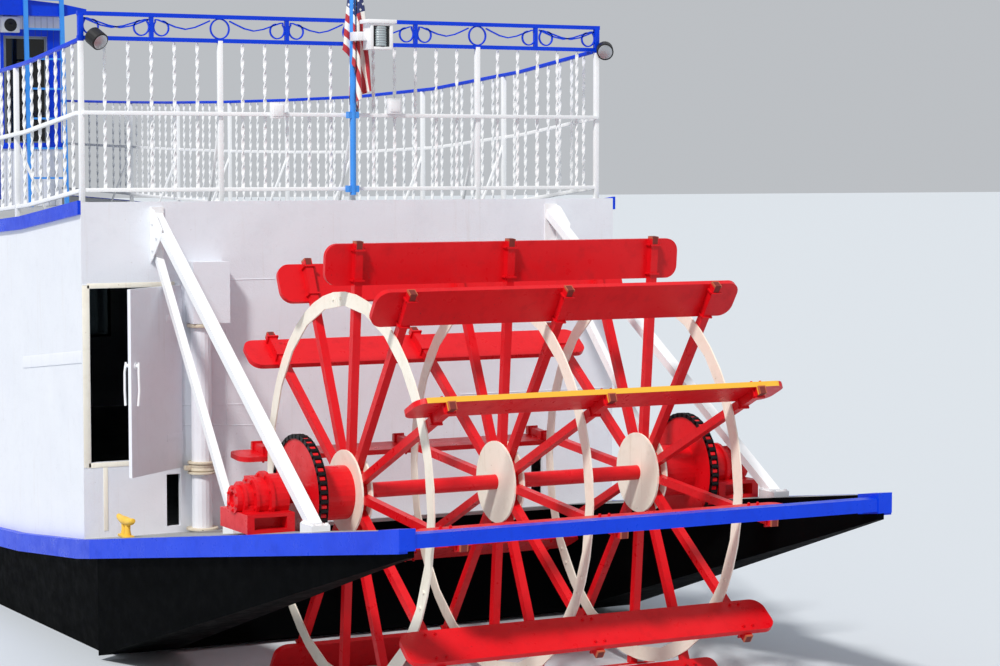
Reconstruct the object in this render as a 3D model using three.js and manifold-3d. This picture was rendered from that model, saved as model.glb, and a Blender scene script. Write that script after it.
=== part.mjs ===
// Sternwheel paddle steamer, two decks, full size.
// Millimetres. +X is port, +Y is aft, +Z is up. The origin is amidships on the waterline.
import * as THREE from 'three';
import Module from 'manifold-3d';
import { mergeVertices } from 'three/addons/utils/BufferGeometryUtils.js';

const wasm = await Module();
wasm.setup();

// Driving dimensions of the boat
const gap = 0.3;
const bowY = -12900;
const armEndY = 10870;
const hullEndY = 6050;
const halfBeam = 2650;
const freeboard = 670;
const aftRise = 330;
const foreRise = 280;
const armSlope = 0.1377;
const deckHeight = 2920;
const deckPlate = 30;
const upperPlate = 100;
const wallThick = 50;
const transomY = 5700;
const houseFrontY = -7800;
const upperFrontY = -10100;
const cutOver = 20;

// Driving dimensions of the paddle wheel
const wheelY = 8400;
const wheelZ = 1650;
const tipRadius = 2000;
const spokeSide = 65;
const frameSpacing = 1350;
const hubRadius = 336;
const hubPlate = 16;
const shaftRadius = 62;
const ringOuter = 1590;
const ringWide = 110;
const ringThick = 12;
const boardLong = 3220;
const boardWide = 330;
const boardThick = 42;
const spokePhase = 85;
const spokeCount = 12;
const sprocketX = 1780;
const sprocketRadius = 470;

const colours = {
  hull: 0x0b0c0f,
  blue: 0x0a50dc,
  white: 0xe6e6eb,
  cream: 0xf3eee0,
  red: 0xd8141e,
  deck: 0xa9aaa6,
  black: 0x141416,
  wood: 0x8a5a34,
  yellow: 0xf2c53c,
  lens: 0xdfe6ea,
  grey: 0x8b9098,
  flag: 0xb5202e,
};
const metals = {};

function material(name) {
  if (!metals[name]) {
    metals[name] = new THREE.MeshStandardMaterial({ color: colours[name], roughness: 0.45, metalness: 0.1 });
  }
  return metals[name];
}

// Sheer of the main deck: lowest amidships, rising to the bow, and straight aft of the transom.
// Between these stations every deck, wall and rail runs straight.
const stations = [bowY, -11200, -9800, -8300, -6200, -4200, -2100, 0, 2000, 4000, transomY, armEndY];

function trueSheer(y) {
  if (y > transomY) return freeboard + aftRise + armSlope * (y - transomY);
  if (y > 0) return freeboard + aftRise * (y / transomY) ** 2;
  return freeboard + foreRise * (y / bowY) ** 2;
}

function mainZ(y) {
  for (let i = 1; i < stations.length; i += 1) {
    const [y0, y1] = [stations[i - 1], stations[i]];
    if (y <= y1 || i === stations.length - 1) {
      return THREE.MathUtils.mapLinear(y, y0, y1, trueSheer(y0), trueSheer(y1));
    }
  }
  return freeboard;
}

const upperZ = (y) => mainZ(y) + deckHeight;

// Lowest level at which a foot of the given half length clears the sloping deck
const onMain = (y, half) => Math.max(mainZ(y - half), mainZ(y + half)) + gap;
const onUpper = (y, half) => onMain(y, half) + deckHeight;

// Stations from y0 to y1, with both ends
function between(y0, y1) {
  return [y0, ...stations.filter((y) => y > y0 && y < y1), y1];
}

// Half breadth of the main deck, and of the upper deck that follows it
const deckPlan = [
  [bowY, 450], [-12300, 1120], [-11200, 1820], [-9800, 2390], [-8300, halfBeam], [transomY, halfBeam],
];

function halfWidth(y) {
  for (let i = 1; i < deckPlan.length; i += 1) {
    const [[y0, w0], [y1, w1]] = [deckPlan[i - 1], deckPlan[i]];
    if (y <= y1) return THREE.MathUtils.mapLinear(y, y0, y1, w0, w1);
  }
  return halfBeam;
}

// Closed body through rings of points; every ring has the same number of points
function loft(rings) {
  const count = rings[0].length;
  const positions = rings.flat().flatMap((p) => [p.x, p.y, p.z]);
  const index = [];
  for (let r = 0; r < rings.length - 1; r += 1) {
    for (let i = 0; i < count; i += 1) {
      const a = r * count + i;
      const b = r * count + ((i + 1) % count);
      index.push(a, b, b + count, a, b + count, a + count);
    }
  }
  const last = (rings.length - 1) * count;
  for (const [base, ring, outward] of [[0, rings[0], -1], [last, rings[rings.length - 1], 1]]) {
    const flat = ring.map((p) => new THREE.Vector2(p.x, p.z));
    const turned = outward * THREE.ShapeUtils.area(flat);
    for (const [a, b, c] of THREE.ShapeUtils.triangulateShape(flat, [])) {
      index.push(...(turned > 0 ? [base + a, base + b, base + c] : [base + c, base + b, base + a]));
    }
  }
  const geometry = new THREE.BufferGeometry();
  geometry.setAttribute('position', new THREE.Float32BufferAttribute(positions, 3));
  geometry.setIndex(index);
  return solid(geometry);
}

// three.js geometry to a manifold solid, turned right side out
function solid(geometry) {
  const plain = geometry.clone();
  plain.deleteAttribute('normal');
  plain.deleteAttribute('uv');
  const merged = mergeVertices(plain, 1e-3);
  const triVerts = new Uint32Array(merged.index.array);
  const points = merged.attributes.position.array;
  if (signedVolume(points, triVerts) < 0) {
    for (let i = 0; i < triVerts.length; i += 3) {
      [triVerts[i], triVerts[i + 1]] = [triVerts[i + 1], triVerts[i]];
    }
  }
  const vertProperties = new Float32Array(points);
  return new wasm.Manifold(new wasm.Mesh({ numProp: 3, vertProperties, triVerts }));
}

function signedVolume(points, tris) {
  const [a, b, c] = [new THREE.Vector3(), new THREE.Vector3(), new THREE.Vector3()];
  let sum = 0;
  for (let i = 0; i < tris.length; i += 3) {
    a.fromArray(points, tris[i] * 3);
    b.fromArray(points, tris[i + 1] * 3);
    c.fromArray(points, tris[i + 2] * 3);
    sum += a.dot(b.cross(c));
  }
  return sum;
}

// Box between two corners
function block(x0, x1, y0, y1, z0, z1) {
  const box = new THREE.BoxGeometry(Math.abs(x1 - x0), Math.abs(y1 - y0), Math.abs(z1 - z0));
  box.translate((x0 + x1) / 2, (y0 + y1) / 2, (z0 + z1) / 2);
  return solid(box);
}

// Straight square bar between two points
function bar(from, to, wide, deep = wide) {
  const along = new THREE.Vector3().subVectors(to, from);
  const box = new THREE.BoxGeometry(wide, deep, along.length());
  const turn = new THREE.Quaternion().setFromUnitVectors(new THREE.Vector3(0, 0, 1), along.normalize());
  box.applyQuaternion(turn);
  const middle = new THREE.Vector3().addVectors(from, to).multiplyScalar(0.5);
  box.translate(middle.x, middle.y, middle.z);
  return solid(box);
}

// Round bar along an axis of the boat
function rod(radius, from, to, sides = 24) {
  const along = new THREE.Vector3().subVectors(to, from);
  const cylinder = new THREE.CylinderGeometry(radius, radius, along.length(), sides);
  const turn = new THREE.Quaternion().setFromUnitVectors(new THREE.Vector3(0, 1, 0), along.normalize());
  cylinder.applyQuaternion(turn);
  const middle = new THREE.Vector3().addVectors(from, to).multiplyScalar(0.5);
  cylinder.translate(middle.x, middle.y, middle.z);
  return solid(cylinder);
}

// Flat plate with an outline of [y, z] points, from x0 to x1
function sidePlate(outline, x0, x1) {
  const shape = new THREE.Shape(outline.map(([y, z]) => new THREE.Vector2(y, z)));
  const plate = new THREE.ExtrudeGeometry(shape, { depth: x1 - x0, bevelEnabled: false, curveSegments: 8 });
  // Shape x to boat Y, shape y to boat Z, depth to boat X
  plate.applyMatrix4(new THREE.Matrix4().set(0, 0, 1, x0, 1, 0, 0, 0, 0, 1, 0, 0, 0, 0, 0, 1));
  return solid(plate);
}

const cut = (body, tools) => body.subtract(join(tools));
const join = (parts) => wasm.Manifold.union(parts);
const point = (x, y, z) => new THREE.Vector3(x, y, z);

const boat = new THREE.Group();

function add(name, body, colour, parent = boat) {
  const mesh = body.getMesh();
  const geometry = new THREE.BufferGeometry();
  geometry.setAttribute('position', new THREE.BufferAttribute(new Float32Array(mesh.vertProperties), 3));
  geometry.setIndex(new THREE.BufferAttribute(new Uint32Array(mesh.triVerts), 1));
  geometry.computeVertexNormals();
  const part = new THREE.Mesh(geometry, material(colour));
  part.name = name;
  parent.add(part);
  return part;
}

// Rake under the stern, which the arms carry on: height of its underside at y
const rakeSlope = 0.3058;
const rakeStartY = 5917;
const rakeZ = (y) => rakeSlope * (y - rakeStartY);
const keelZ = -900;
const rakeFootY = rakeStartY + keelZ / rakeSlope;

// Hull: flat-bottomed, raked up at both ends
// y, half width at the waterline, half width at the bilge, bilge height, bottom height
const hullSections = [
  [bowY, 400, 300, 330, 300],
  [-12300, 950, 700, -250, -330],
  [-11200, 1600, 1250, -640, -740],
  [-9800, 2200, 1850, -820, keelZ],
  [-8300, 2560, 2250, -850, keelZ],
  [-2100, 2600, 2350, -850, keelZ],
  [rakeFootY, 2600, 2350, -850, keelZ],
  [hullEndY, 2500, 2300, rakeZ(hullEndY) + 14, rakeZ(hullEndY)],
];

function sectionAt(y) {
  const next = Math.max(1, hullSections.findIndex((row) => row[0] >= y));
  const [before, after] = [hullSections[next - 1], hullSections[next]];
  return after.map((value, i) => THREE.MathUtils.mapLinear(y, before[0], after[0], before[i], value));
}

const deckStations = [...new Set([...between(bowY, transomY), -12300])].sort((a, b) => a - b);
const hullStations = [...new Set([...deckStations, rakeFootY, hullEndY])].sort((a, b) => a - b);

function hull() {
  const rings = hullStations.map((station) => {
    const [y, water, bilge, bilgeZ, bottomZ] = sectionAt(station);
    const top = mainZ(y) - deckPlate - gap;
    const edge = halfWidth(y);
    const knuckle = Math.max(bilgeZ + 60, 0);
    return [
      point(-edge, y, top), point(-water, y, knuckle), point(-bilge, y, bilgeZ), point(0, y, bottomZ),
      point(bilge, y, bilgeZ), point(water, y, knuckle), point(edge, y, top),
    ];
  });
  return loft(rings);
}

function slabRings(ys, widthAt, zTopAt, thick) {
  return ys.map((y) => {
    const [w, z] = [widthAt(y), zTopAt(y)];
    return [point(-w, y, z - thick), point(w, y, z - thick), point(w, y, z), point(-w, y, z)];
  });
}

add('hull', hull(), 'hull');
add('main_deck', loft(slabRings([...deckStations, hullEndY], halfWidth, mainZ, deckPlate)), 'deck');

// Upright section of a band at y, from its inner to its outer side
const band = (inner, outer, y, low, top) => (
  [point(inner, y, low), point(outer, y, low), point(outer, y, top), point(inner, y, top)]);

// Stern arms: the side plates of the hull run on beside the wheel and taper to the stern beam
const armInnerStart = 1920;
const armInnerEnd = 1985;
const armOuterEnd = 2035;
const capLong = 260;
const armOuter = (y) => THREE.MathUtils.mapLinear(y, hullEndY, armEndY, halfBeam, armOuterEnd);

// The inner face closes in as far as the cap, and runs parallel to the keel under it
function armInner(y) {
  const capY = armEndY - capLong;
  return THREE.MathUtils.mapLinear(Math.min(y, capY), hullEndY, capY, armInnerStart, armInnerEnd);
}

function arm(side) {
  const rings = [hullEndY + gap, armEndY - capLong, armEndY].map((y) => {
    return band(armInner(y) * side, armOuter(y) * side, y, rakeZ(y), mainZ(y));
  });
  return loft(rings);
}

// Blue guard along the edge of the main deck, of the bow and of each arm, with a cap over the arm's end
const guardThick = 70;
const guardDeep = 165;
const capThick = 8;
const capDeep = 150;

// Ring across the arm at y, grown by a margin on its inner side and top
function armRing(side, y, margin, outer, low) {
  return band((armInner(y) - margin) * side, outer * side, y, low, mainZ(y) + margin);
}

function guardSide(side) {
  const ys = [...deckStations, hullEndY, armEndY];
  const rings = ys.map((y) => {
    const inner = (y > hullEndY ? armOuter(y) : halfWidth(y)) + gap;
    const outer = inner + guardThick;
    const [top, low] = [mainZ(y), mainZ(y) - guardDeep];
    return band(inner * side, outer * side, y, low, top);
  });
  const capYs = [armEndY - capLong, armEndY + capThick];
  const over = capYs.map((y) => armRing(side, y, capThick, armOuter(y) + guardThick, mainZ(y) - capDeep));
  const under = [armEndY - capLong - cutOver, armEndY + gap].map((y) => (
    armRing(side, y, gap, armOuter(Math.min(y, armEndY)) + gap, mainZ(y) - capDeep - cutOver)));
  return join([loft(rings), loft(over).subtract(loft(under))]);
}

function guard() {
  const bowHalf = halfWidth(bowY) + gap + guardThick;
  const [low, high] = [mainZ(bowY) - guardDeep, mainZ(bowY)];
  const front = block(-bowHalf, bowHalf, bowY - guardThick, bowY - gap, low, high);
  const corners = [1, -1].map((side) => (
    block((bowHalf - guardThick) * side, bowHalf * side, bowY - guardThick, bowY, low, high)));
  return join([guardSide(1), guardSide(-1), front, ...corners]);
}

for (const [name, side] of [['port', 1], ['starboard', -1]]) add(`${name}_arm`, arm(side), 'hull');
add('guard', guard(), 'blue');

// Stern beam between the capped ends of both arms
const beamDeep = 100;
const beamThick = 120;
const beamTop = mainZ(armEndY) - 35;
const beamHalf = armInnerEnd - capThick - gap;
const sternBeam = block(-beamHalf, beamHalf, armEndY - beamThick, armEndY, beamTop - beamDeep, beamTop);
add('stern_beam', sternBeam, 'blue');

// Walls of the main-deck house
const wallOuter = 2647;
const wallInner = wallOuter - wallThick;
const windowSill = 1000;
const windowTall = 800;
const windowLong = 950;
const windowStartY = 1900;
const windowPitch = 1330;
const windowCount = 7;

function sideWall(side) {
  const [y0, y1] = [houseFrontY, transomY - wallThick - gap];
  const ys = between(y0, y1);
  const low = ys.map((y) => [y, mainZ(y) + gap]);
  const high = ys.map((y) => [y, upperZ(y) - upperPlate - gap]).reverse();
  const [a, b] = side > 0 ? [wallInner, wallOuter] : [-wallOuter, -wallInner];
  const windows = [];
  for (let i = 0; i < windowCount; i += 1) {
    const y = windowStartY - i * windowPitch;
    const z = mainZ(y) + windowSill;
    windows.push(block(a - cutOver, b + cutOver, y - windowLong, y, z, z + windowTall));
  }
  return cut(sidePlate([...low, ...high], a, b), windows);
}

// Transom openings: x0, x1, z0, z1
const serviceDoor = [1800, 2577, 1660, 3170];
const slots = [[1760, 1890, 1060, 1520], [-1890, -1760, 1060, 1520]];

function transom() {
  const low = mainZ(transomY) + gap;
  const high = upperZ(transomY - wallThick);
  const [y0, y1] = [transomY - wallThick, transomY];
  const openings = [serviceDoor, ...slots].map(([x0, x1, z0, z1]) => (
    block(x0, x1, y0 - cutOver, y1 + cutOver, z0, z1)));
  return cut(block(-wallOuter, wallOuter, y0, y1, low, high), openings);
}

const frontDoorHalf = 760;
const frontDoorTall = 1960;

function frontWall() {
  const [low, high] = [mainZ(houseFrontY) + gap + 4, upperZ(houseFrontY) - upperPlate - gap - 4];
  const sill = low + windowSill;
  const [y0, y1] = [houseFrontY, houseFrontY + wallThick];
  const openings = [
    [-frontDoorHalf, frontDoorHalf, low + 40, low + frontDoorTall],
    [1100, 2250, sill, sill + windowTall],
    [-2250, -1100, sill, sill + windowTall],
  ].map(([x0, x1, z0, z1]) => block(x0, x1, y0 - cutOver, y1 + cutOver, z0, z1));
  return cut(block(-wallInner + gap, wallInner - gap, y0, y1, low, high), openings);
}

add('port_wall', sideWall(1), 'white');
add('starboard_wall', sideWall(-1), 'white');
add('transom_wall', transom(), 'white');
add('front_wall', frontWall(), 'white');

// Upper deck, rounded at its front, with a blue fascia board along each side
const upperPlan = (y) => halfWidth(y) - (halfBeam - wallOuter);
const upperStations = between(upperFrontY, transomY);
const upperDeckStations = between(upperFrontY, transomY - wallThick - gap);
add('upper_deck', loft(slabRings(upperDeckStations, upperPlan, upperZ, upperPlate)), 'deck');

const fasciaThick = 28;
const fasciaDeep = 120;

function fasciaSide(side) {
  const rings = upperStations.map((y) => {
    const inner = upperPlan(y) + gap;
    const outer = inner + fasciaThick;
    const [top, low] = [upperZ(y) + 10, upperZ(y) + 10 - fasciaDeep];
    return band(inner * side, outer * side, y, low, top);
  });
  return loft(rings);
}

const frontHalf = upperPlan(upperFrontY) + gap + fasciaThick;
const frontTop = upperZ(upperFrontY) + 10;
add('fascia', join([
  fasciaSide(1),
  fasciaSide(-1),
  block(-frontHalf, frontHalf, upperFrontY - fasciaThick, upperFrontY - gap, frontTop - fasciaDeep, frontTop),
  ...[frontHalf, fasciaThick - frontHalf].map((x) => (
    block(x - fasciaThick, x, upperFrontY - fasciaThick, upperFrontY, frontTop - fasciaDeep, frontTop))),
]), 'blue');

// Rails of the upper deck
const railX = 2570;
const railInset = 190;
const bottomRail = 115;
const midRail = 785;
const sideTop = 1420;
const trussLow = 1430;
const trussHigh = 1640;
const post = 45;
const tube = 36;
const picket = 16;
const picketPitch = railX / 12;
const midOffset = (tube + picket) / 2 + gap;
const braceSide = 26;
const braceReach = 300;
const railY = transomY - railInset;

// Pickets stand 0.3 mm behind the mid rail, with their ends inside the bottom rail and the rail above
function pickets(places, lowAt, highAt) {
  return places.map(([x, y]) => (
    block(x - picket / 2, x + picket / 2, y - picket / 2, y + picket / 2, lowAt(y), highAt(y))));
}

// Slanting brace from a post down to the deck, ending just above it
function brace(x, y, dx, dy) {
  const foot = onUpper(y + dy, braceSide);
  const whole = bar(point(x, y, upperZ(y) + midRail - 60), point(x + dx, y + dy, foot - 30), braceSide);
  return whole.subtract(block(x - 900, x + 900, y - 900, y + 900, foot - 200, foot));
}

function postAt(x, y, top) {
  const half = post / 2;
  return block(x - half, x + half, y - half, y + half, onUpper(y, half), upperZ(y) + top);
}

const sternPosts = [-railX, -railX / 2, 0, railX / 2, railX];

function sternRail() {
  const deck = upperZ(railY);
  const top = deck + trussLow - tube / 2 - gap;
  const parts = sternPosts.map((x) => (
    block(x - post / 2, x + post / 2, railY - post / 2, railY + post / 2, onUpper(railY, post / 2), top)));
  for (const [height, offset] of [[bottomRail, 0], [midRail, midOffset]]) {
    const [y, z] = [railY + offset, deck + height];
    parts.push(block(-railX, railX, y - tube / 2, y + tube / 2, z - tube / 2, z + tube / 2));
  }
  const places = [];
  for (let x = picketPitch; x < railX - 2 * post; x += picketPitch) {
    if (Math.abs(x - railX / 2) > post) places.push([x, railY], [-x, railY]);
  }
  const braces = sternPosts.slice(1, 4).map((x) => brace(x, railY, 0, -braceReach));
  return join([...parts, ...pickets(places, () => deck + bottomRail, () => top), ...braces]);
}

// Scrolls between the truss bars: a ring in the middle of each bay, and a flat bar that curls from each upright
const scrollThick = 12;
const trussUprights = [-railX, -1905, -railX / 4, railX / 4, 1925, railX];
const trussRings = [-railX / 2, 0, railX / 2];

// Ribbon of flat bar that follows points [x, z], standing across the rail
function ribbon(path, wide) {
  const half = scrollThick / 2;
  const sides = [1, -1].map((side) => path.map(([x, z], i) => {
    const [before, after] = [path[Math.max(i - 1, 0)], path[Math.min(i + 1, path.length - 1)]];
    const [dx, dz] = [after[0] - before[0], after[1] - before[1]];
    const long = Math.hypot(dx, dz);
    return new THREE.Vector2(x - (dz / long) * half * side, z + (dx / long) * half * side);
  }));
  const flat = new THREE.Shape([...sides[0], ...sides[1].reverse()]);
  const strip = new THREE.ExtrudeGeometry(flat, { depth: wide, bevelEnabled: false });
  strip.rotateX(Math.PI / 2);
  strip.translate(0, railY + wide / 2, 0);
  return solid(strip);
}

// Curl beside an upright at x0 that runs on as a slanting bar to x1
function scroll(x0, x1, low, high) {
  const side = Math.sign(x1 - x0);
  const radius = (high - low) / 2 - 14;
  const [cx, cz] = [x0 + side * (radius + 22), (low + high) / 2];
  const path = [];
  for (let i = 0; i <= 8; i += 1) {
    const angle = -Math.PI * 0.35 + (i / 8) * Math.PI * 1.6;
    path.push([cx - side * radius * Math.cos(angle), cz - radius * Math.sin(angle) * (i === 8 ? 0.9 : 1)]);
  }
  path.reverse();
  path.push([x0 + (x1 - x0) * 0.62, cz - radius * 0.2], [x1, high - 8]);
  return ribbon(path, 20);
}

function sternTruss() {
  const deck = upperZ(railY);
  const [low, high] = [deck + trussLow, deck + trussHigh];
  const parts = [low, high].map((z) => (
    block(-railX - 30, railX + 30, railY - tube / 2, railY + tube / 2, z - tube / 2, z + tube / 2)));
  const [near, far] = [railY - tube / 2 + 2, railY + tube / 2 - 2];
  for (const x of trussUprights) parts.push(block(x - 18, x + 18, near, far, low, high));
  const [middle, outer] = [(low + high) / 2, (high - low) / 2 - tube / 2 + 6];
  for (const x of trussRings) {
    const [y0, y1] = [railY - 10, railY + 10];
    parts.push(rod(outer, point(x, y0, middle), point(x, y1, middle), 20)
      .subtract(rod(outer - scrollThick, point(x, y0 - 5, middle), point(x, y1 + 5, middle), 20)));
  }
  for (const side of [1, -1]) {
    const curls = [
      [1925, railX / 2 + outer], [railX / 4, railX / 2 - outer], [railX / 4, outer], [1925, railX - 20], [railX, 1945],
    ];
    for (const [x0, x1] of curls) {
      parts.push(scroll(x0 * side, x1 * side, low + tube / 2, high - tube / 2));
    }
  }
  return join(parts);
}

add('stern_rail', sternRail(), 'white');
add('stern_truss', sternTruss(), 'blue');

const sideRailStart = upperFrontY + 120;
const sideRailEnd = railY - post / 2 - gap;
const sidePicketPitch = 236;
const sidePostPitch = 8 * sidePicketPitch;

function railLineX(y) {
  return Math.min(railX, upperPlan(y) - 80);
}

// Places along the side rail from the stern forward, a pitch apart
function sidePlaces(pitch) {
  const places = [];
  for (let y = railY - pitch; y > sideRailStart + pitch / 3; y -= pitch) places.push(y);
  return places;
}

function sideRail(side) {
  const ys = between(sideRailStart, sideRailEnd);
  const parts = [];
  for (const [height, offset] of [[bottomRail, 0], [midRail, midOffset], [sideTop, 0]]) {
    const rings = ys.map((y) => {
      const [x, z] = [railLineX(y) + offset, upperZ(y) + height];
      const half = tube / 2;
      return band((x - half) * side, (x + half) * side, y, z - half, z + half);
    });
    parts.push(loft(rings));
  }
  const postPlaces = [...sidePlaces(sidePostPitch), sideRailStart];
  for (const y of postPlaces) {
    const x = railLineX(y) * side;
    parts.push(postAt(x, y, sideTop));
    if (y > houseFrontY) parts.push(brace(x, y, -braceReach * side, 0));
  }
  const isClear = (y) => postPlaces.every((place) => Math.abs(place - y) > post);
  const places = sidePlaces(sidePicketPitch).filter(isClear).map((y) => [railLineX(y) * side, y]);
  return join([...parts, ...pickets(places, (y) => upperZ(y) + bottomRail, (y) => upperZ(y) + sideTop)]);
}

add('port_rail', sideRail(1), 'white');
add('starboard_rail', sideRail(-1), 'white');

function frontRail() {
  const y = sideRailStart - post - gap;
  const x = railLineX(sideRailStart);
  const deck = upperZ(y);
  const half = tube / 2;
  const parts = [[bottomRail, 0], [midRail, -midOffset], [sideTop, 0]].map(([height, offset]) => (
    block(-x, x, y + offset - half, y + offset + half, deck + height - half, deck + height + half)));
  for (const px of [-x, -x / 3, x / 3, x]) {
    parts.push(postAt(px, y, sideTop));
  }
  const places = [];
  for (let px = picketPitch / 2; px < x - post; px += picketPitch) {
    if (Math.abs(px - x / 3) > post) places.push([px, y], [-px, y]);
  }
  return join([...parts, ...pickets(places, () => deck + bottomRail, () => deck + sideTop)]);
}

add('front_rail', frontRail(), 'white');

// Pilothouse forward on the upper deck: four panels, a crowned roof, and a door in its aft wall
const pilotX = 1200;
const pilotAftY = -6670;
const pilotFrontY = -9050;
const pilotTall = 2530;
const pilotFloor = upperZ(pilotAftY) + 30;
const pilotTop = pilotFloor + pilotTall;
const pilotSill = 810;
const pilotWindow = 1450;
const pilotDoor = [-350, 350];

function pilotSide(side) {
  const ys = between(pilotFrontY, pilotAftY);
  const low = ys.map((y) => [y, upperZ(y) + gap]);
  const outline = [...low, [pilotAftY, pilotTop], [pilotFrontY, pilotTop]];
  const [a, b] = side > 0 ? [pilotX - wallThick, pilotX] : [-pilotX, -pilotX + wallThick];
  const z = pilotFloor + pilotSill;
  const middle = (pilotFrontY + pilotAftY) / 2;
  const windows = [[pilotFrontY + 200, middle - 70], [middle + 70, pilotAftY - 200]].map(([y0, y1]) => (
    block(a - cutOver, b + cutOver, y0, y1, z, z + pilotWindow)));
  return cut(sidePlate(outline, a, b), windows);
}

function pilotEnd(y0, y1, openings) {
  const inner = pilotX - wallThick - gap;
  const low = Math.max(upperZ(y0), upperZ(y1)) + gap;
  const holes = openings.map(([x0, x1, z0, z1]) => block(x0, x1, y0 - cutOver, y1 + cutOver, z0, z1));
  return cut(block(-inner, inner, y0, y1, low, pilotTop), holes);
}

add('pilothouse_port', pilotSide(1), 'white');
add('pilothouse_starboard', pilotSide(-1), 'white');
const pilotGlassZ = [pilotFloor + pilotSill, pilotFloor + pilotSill + pilotWindow];
add('pilothouse_front', pilotEnd(pilotFrontY, pilotFrontY + wallThick,
  [[-1020, -380, ...pilotGlassZ], [-320, 320, ...pilotGlassZ], [380, 1020, ...pilotGlassZ]]), 'white');
add('pilothouse_aft', pilotEnd(pilotAftY - wallThick, pilotAftY, [
  [...pilotDoor, pilotFloor + 60, pilotFloor + 2060],
  [410, 1010, ...pilotGlassZ],
  [-1010, -410, ...pilotGlassZ],
]), 'blue');

// Half of the roof's section: x, height above the walls; the crown is thin at the eaves
const roofAft = 200;
const roofFore = 450;
const halfRoof = [[1200, gap], [1510, 75], [1510, 105], [1150, 170], [550, 220]];
const roofSection = [...halfRoof, ...halfRoof.map(([x, z]) => [-x, z]).reverse()];
add('pilothouse_roof', loft([pilotFrontY - roofFore, pilotAftY + roofAft].map((y) => (
  roofSection.map(([x, z]) => point(x, y, pilotTop + z))))), 'blue');

// Ladder to the pilothouse roof, leaning on its aft eave
const ladderX = [-1150, -650];
const ladderLean = 0.05;
const rungCount = 7;
const rungPitch = 400;
const rungFirst = 375;
const ladderTop = pilotTop + 900;
const eaveTop = pilotTop + 260;
const ladderY = (z) => pilotAftY + roofAft + gap + 22 + ladderLean * (eaveTop - z);
const ladderFoot = onUpper(ladderY(pilotFloor), 22);
add('pilothouse_ladder', join([
  ...ladderX.map((x) => sidePlate([
    [ladderY(ladderFoot) - 22, ladderFoot], [ladderY(ladderFoot) + 22, ladderFoot],
    [ladderY(ladderTop) + 22, ladderTop], [ladderY(ladderTop) - 22, ladderTop],
  ], x - 28, x + 28)),
  ...Array.from({ length: rungCount }, (_, i) => {
    const z = ladderFoot + rungFirst + i * rungPitch;
    return block(ladderX[0], ladderX[1], ladderY(z) - 14, ladderY(z) + 14, z, z + 26);
  }),
]), 'blue');

// Helm: console with a spoked wheel inside the pilothouse
const helmY = pilotFrontY + 700;
add('helm', join([
  block(-350, 350, helmY - 250, helmY, onUpper(helmY - 125, 125), pilotFloor + 950),
  rod(30, point(0, helmY - 10, pilotFloor + 850), point(0, helmY + 120, pilotFloor + 850), 12),
  rod(330, point(0, helmY + 80, pilotFloor + 850), point(0, helmY + 105, pilotFloor + 850), 16),
]), 'wood');

// Two stacks abreast, just forward of the pilothouse
const stackX = 1000;
const stackY = -9720;
const stackRadius = 150;
const stackTall = 3300;

for (const [name, side] of [['port', 1], ['starboard', -1]]) {
  const base = onUpper(stackY, 260);
  const outline = [
    [0, base], [260, base], [260, base + 60], [stackRadius, base + 110], [stackRadius, base + stackTall - 260],
    [stackRadius + 110, base + stackTall], [stackRadius + 90, base + stackTall],
    [stackRadius - 20, base + stackTall - 250],
    [stackRadius - 20, base + stackTall - 700], [0, base + stackTall - 700],
  ];
  const lathe = new THREE.LatheGeometry(outline.map(([r, z]) => new THREE.Vector2(r, z)), 24);
  lathe.rotateX(Math.PI / 2);
  lathe.translate(stackX * side, stackY, 0);
  add(`${name}_stack`, solid(lathe), 'black');
}

// Flagstaff on the middle post of the stern rail
const midRailFace = railY + midOffset + tube / 2 + gap;
const staffY = midRailFace + 40;
const staffX = 30;
const staffRadius = 28;
const staffLow = upperZ(railY) + 60;
const staffClamps = [[midRail, midRailFace], [bottomRail, railY + post / 2 + gap]];
add('flagstaff', join([
  rod(staffRadius, point(staffX, staffY, staffLow), point(staffX, staffY, upperZ(railY) + 2300), 12),
  ...staffClamps.map(([height, y]) => {
    const z = upperZ(railY) + height;
    return block(staffX - 52, staffX + 52, y, staffY + 20, z - 30, z + 30);
  }),
]), 'blue');

// Stern light: box lantern with a hood and a round lens, on a bracket off the staff's side
const lightX = -140;
const lightY = staffY + 170;
const lightZ = upperZ(railY) + 1490;
add('stern_light', join([
  block(lightX - 112, lightX + 112, lightY - 75, lightY + 75, lightZ - 120, lightZ + 120),
  block(lightX - 145, lightX + 145, lightY - 80, lightY + 105, lightZ + 115, lightZ + 150),
  rod(78, point(lightX, lightY, lightZ), point(lightX, lightY + 100, lightZ), 20),
  block(staffX - 18, staffX + 40, staffY + staffRadius + gap, lightY + 20, lightZ - 40, lightZ + 40),
  block(lightX, staffX + 40, lightY - 40, lightY + 20, lightZ - 40, lightZ + 40),
]), 'white');

// Limp flag as one closed solid on the staff's starboard side: height above the deck, near and far edge
const flagForward = staffY - 42;
const flagAft = staffY + 82;
const flagHoist = staffX - staffRadius - gap;
const flagRows = [
  [900, -60, -150],
  [1200, -30, -235],
  [1650, flagHoist, -290],
  [2000, flagHoist, -200],
  [2230, flagHoist, -60],
];
const flagSides = [
  ...flagRows.map(([height, near]) => [near, height]),
  ...flagRows.map(([height, , far]) => [far, height]).reverse(),
];
add('flag', loft([flagForward, flagAft].map((y) => (
  flagSides.map(([x, height]) => point(x, y, upperZ(railY) + height))))), 'flag');

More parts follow.
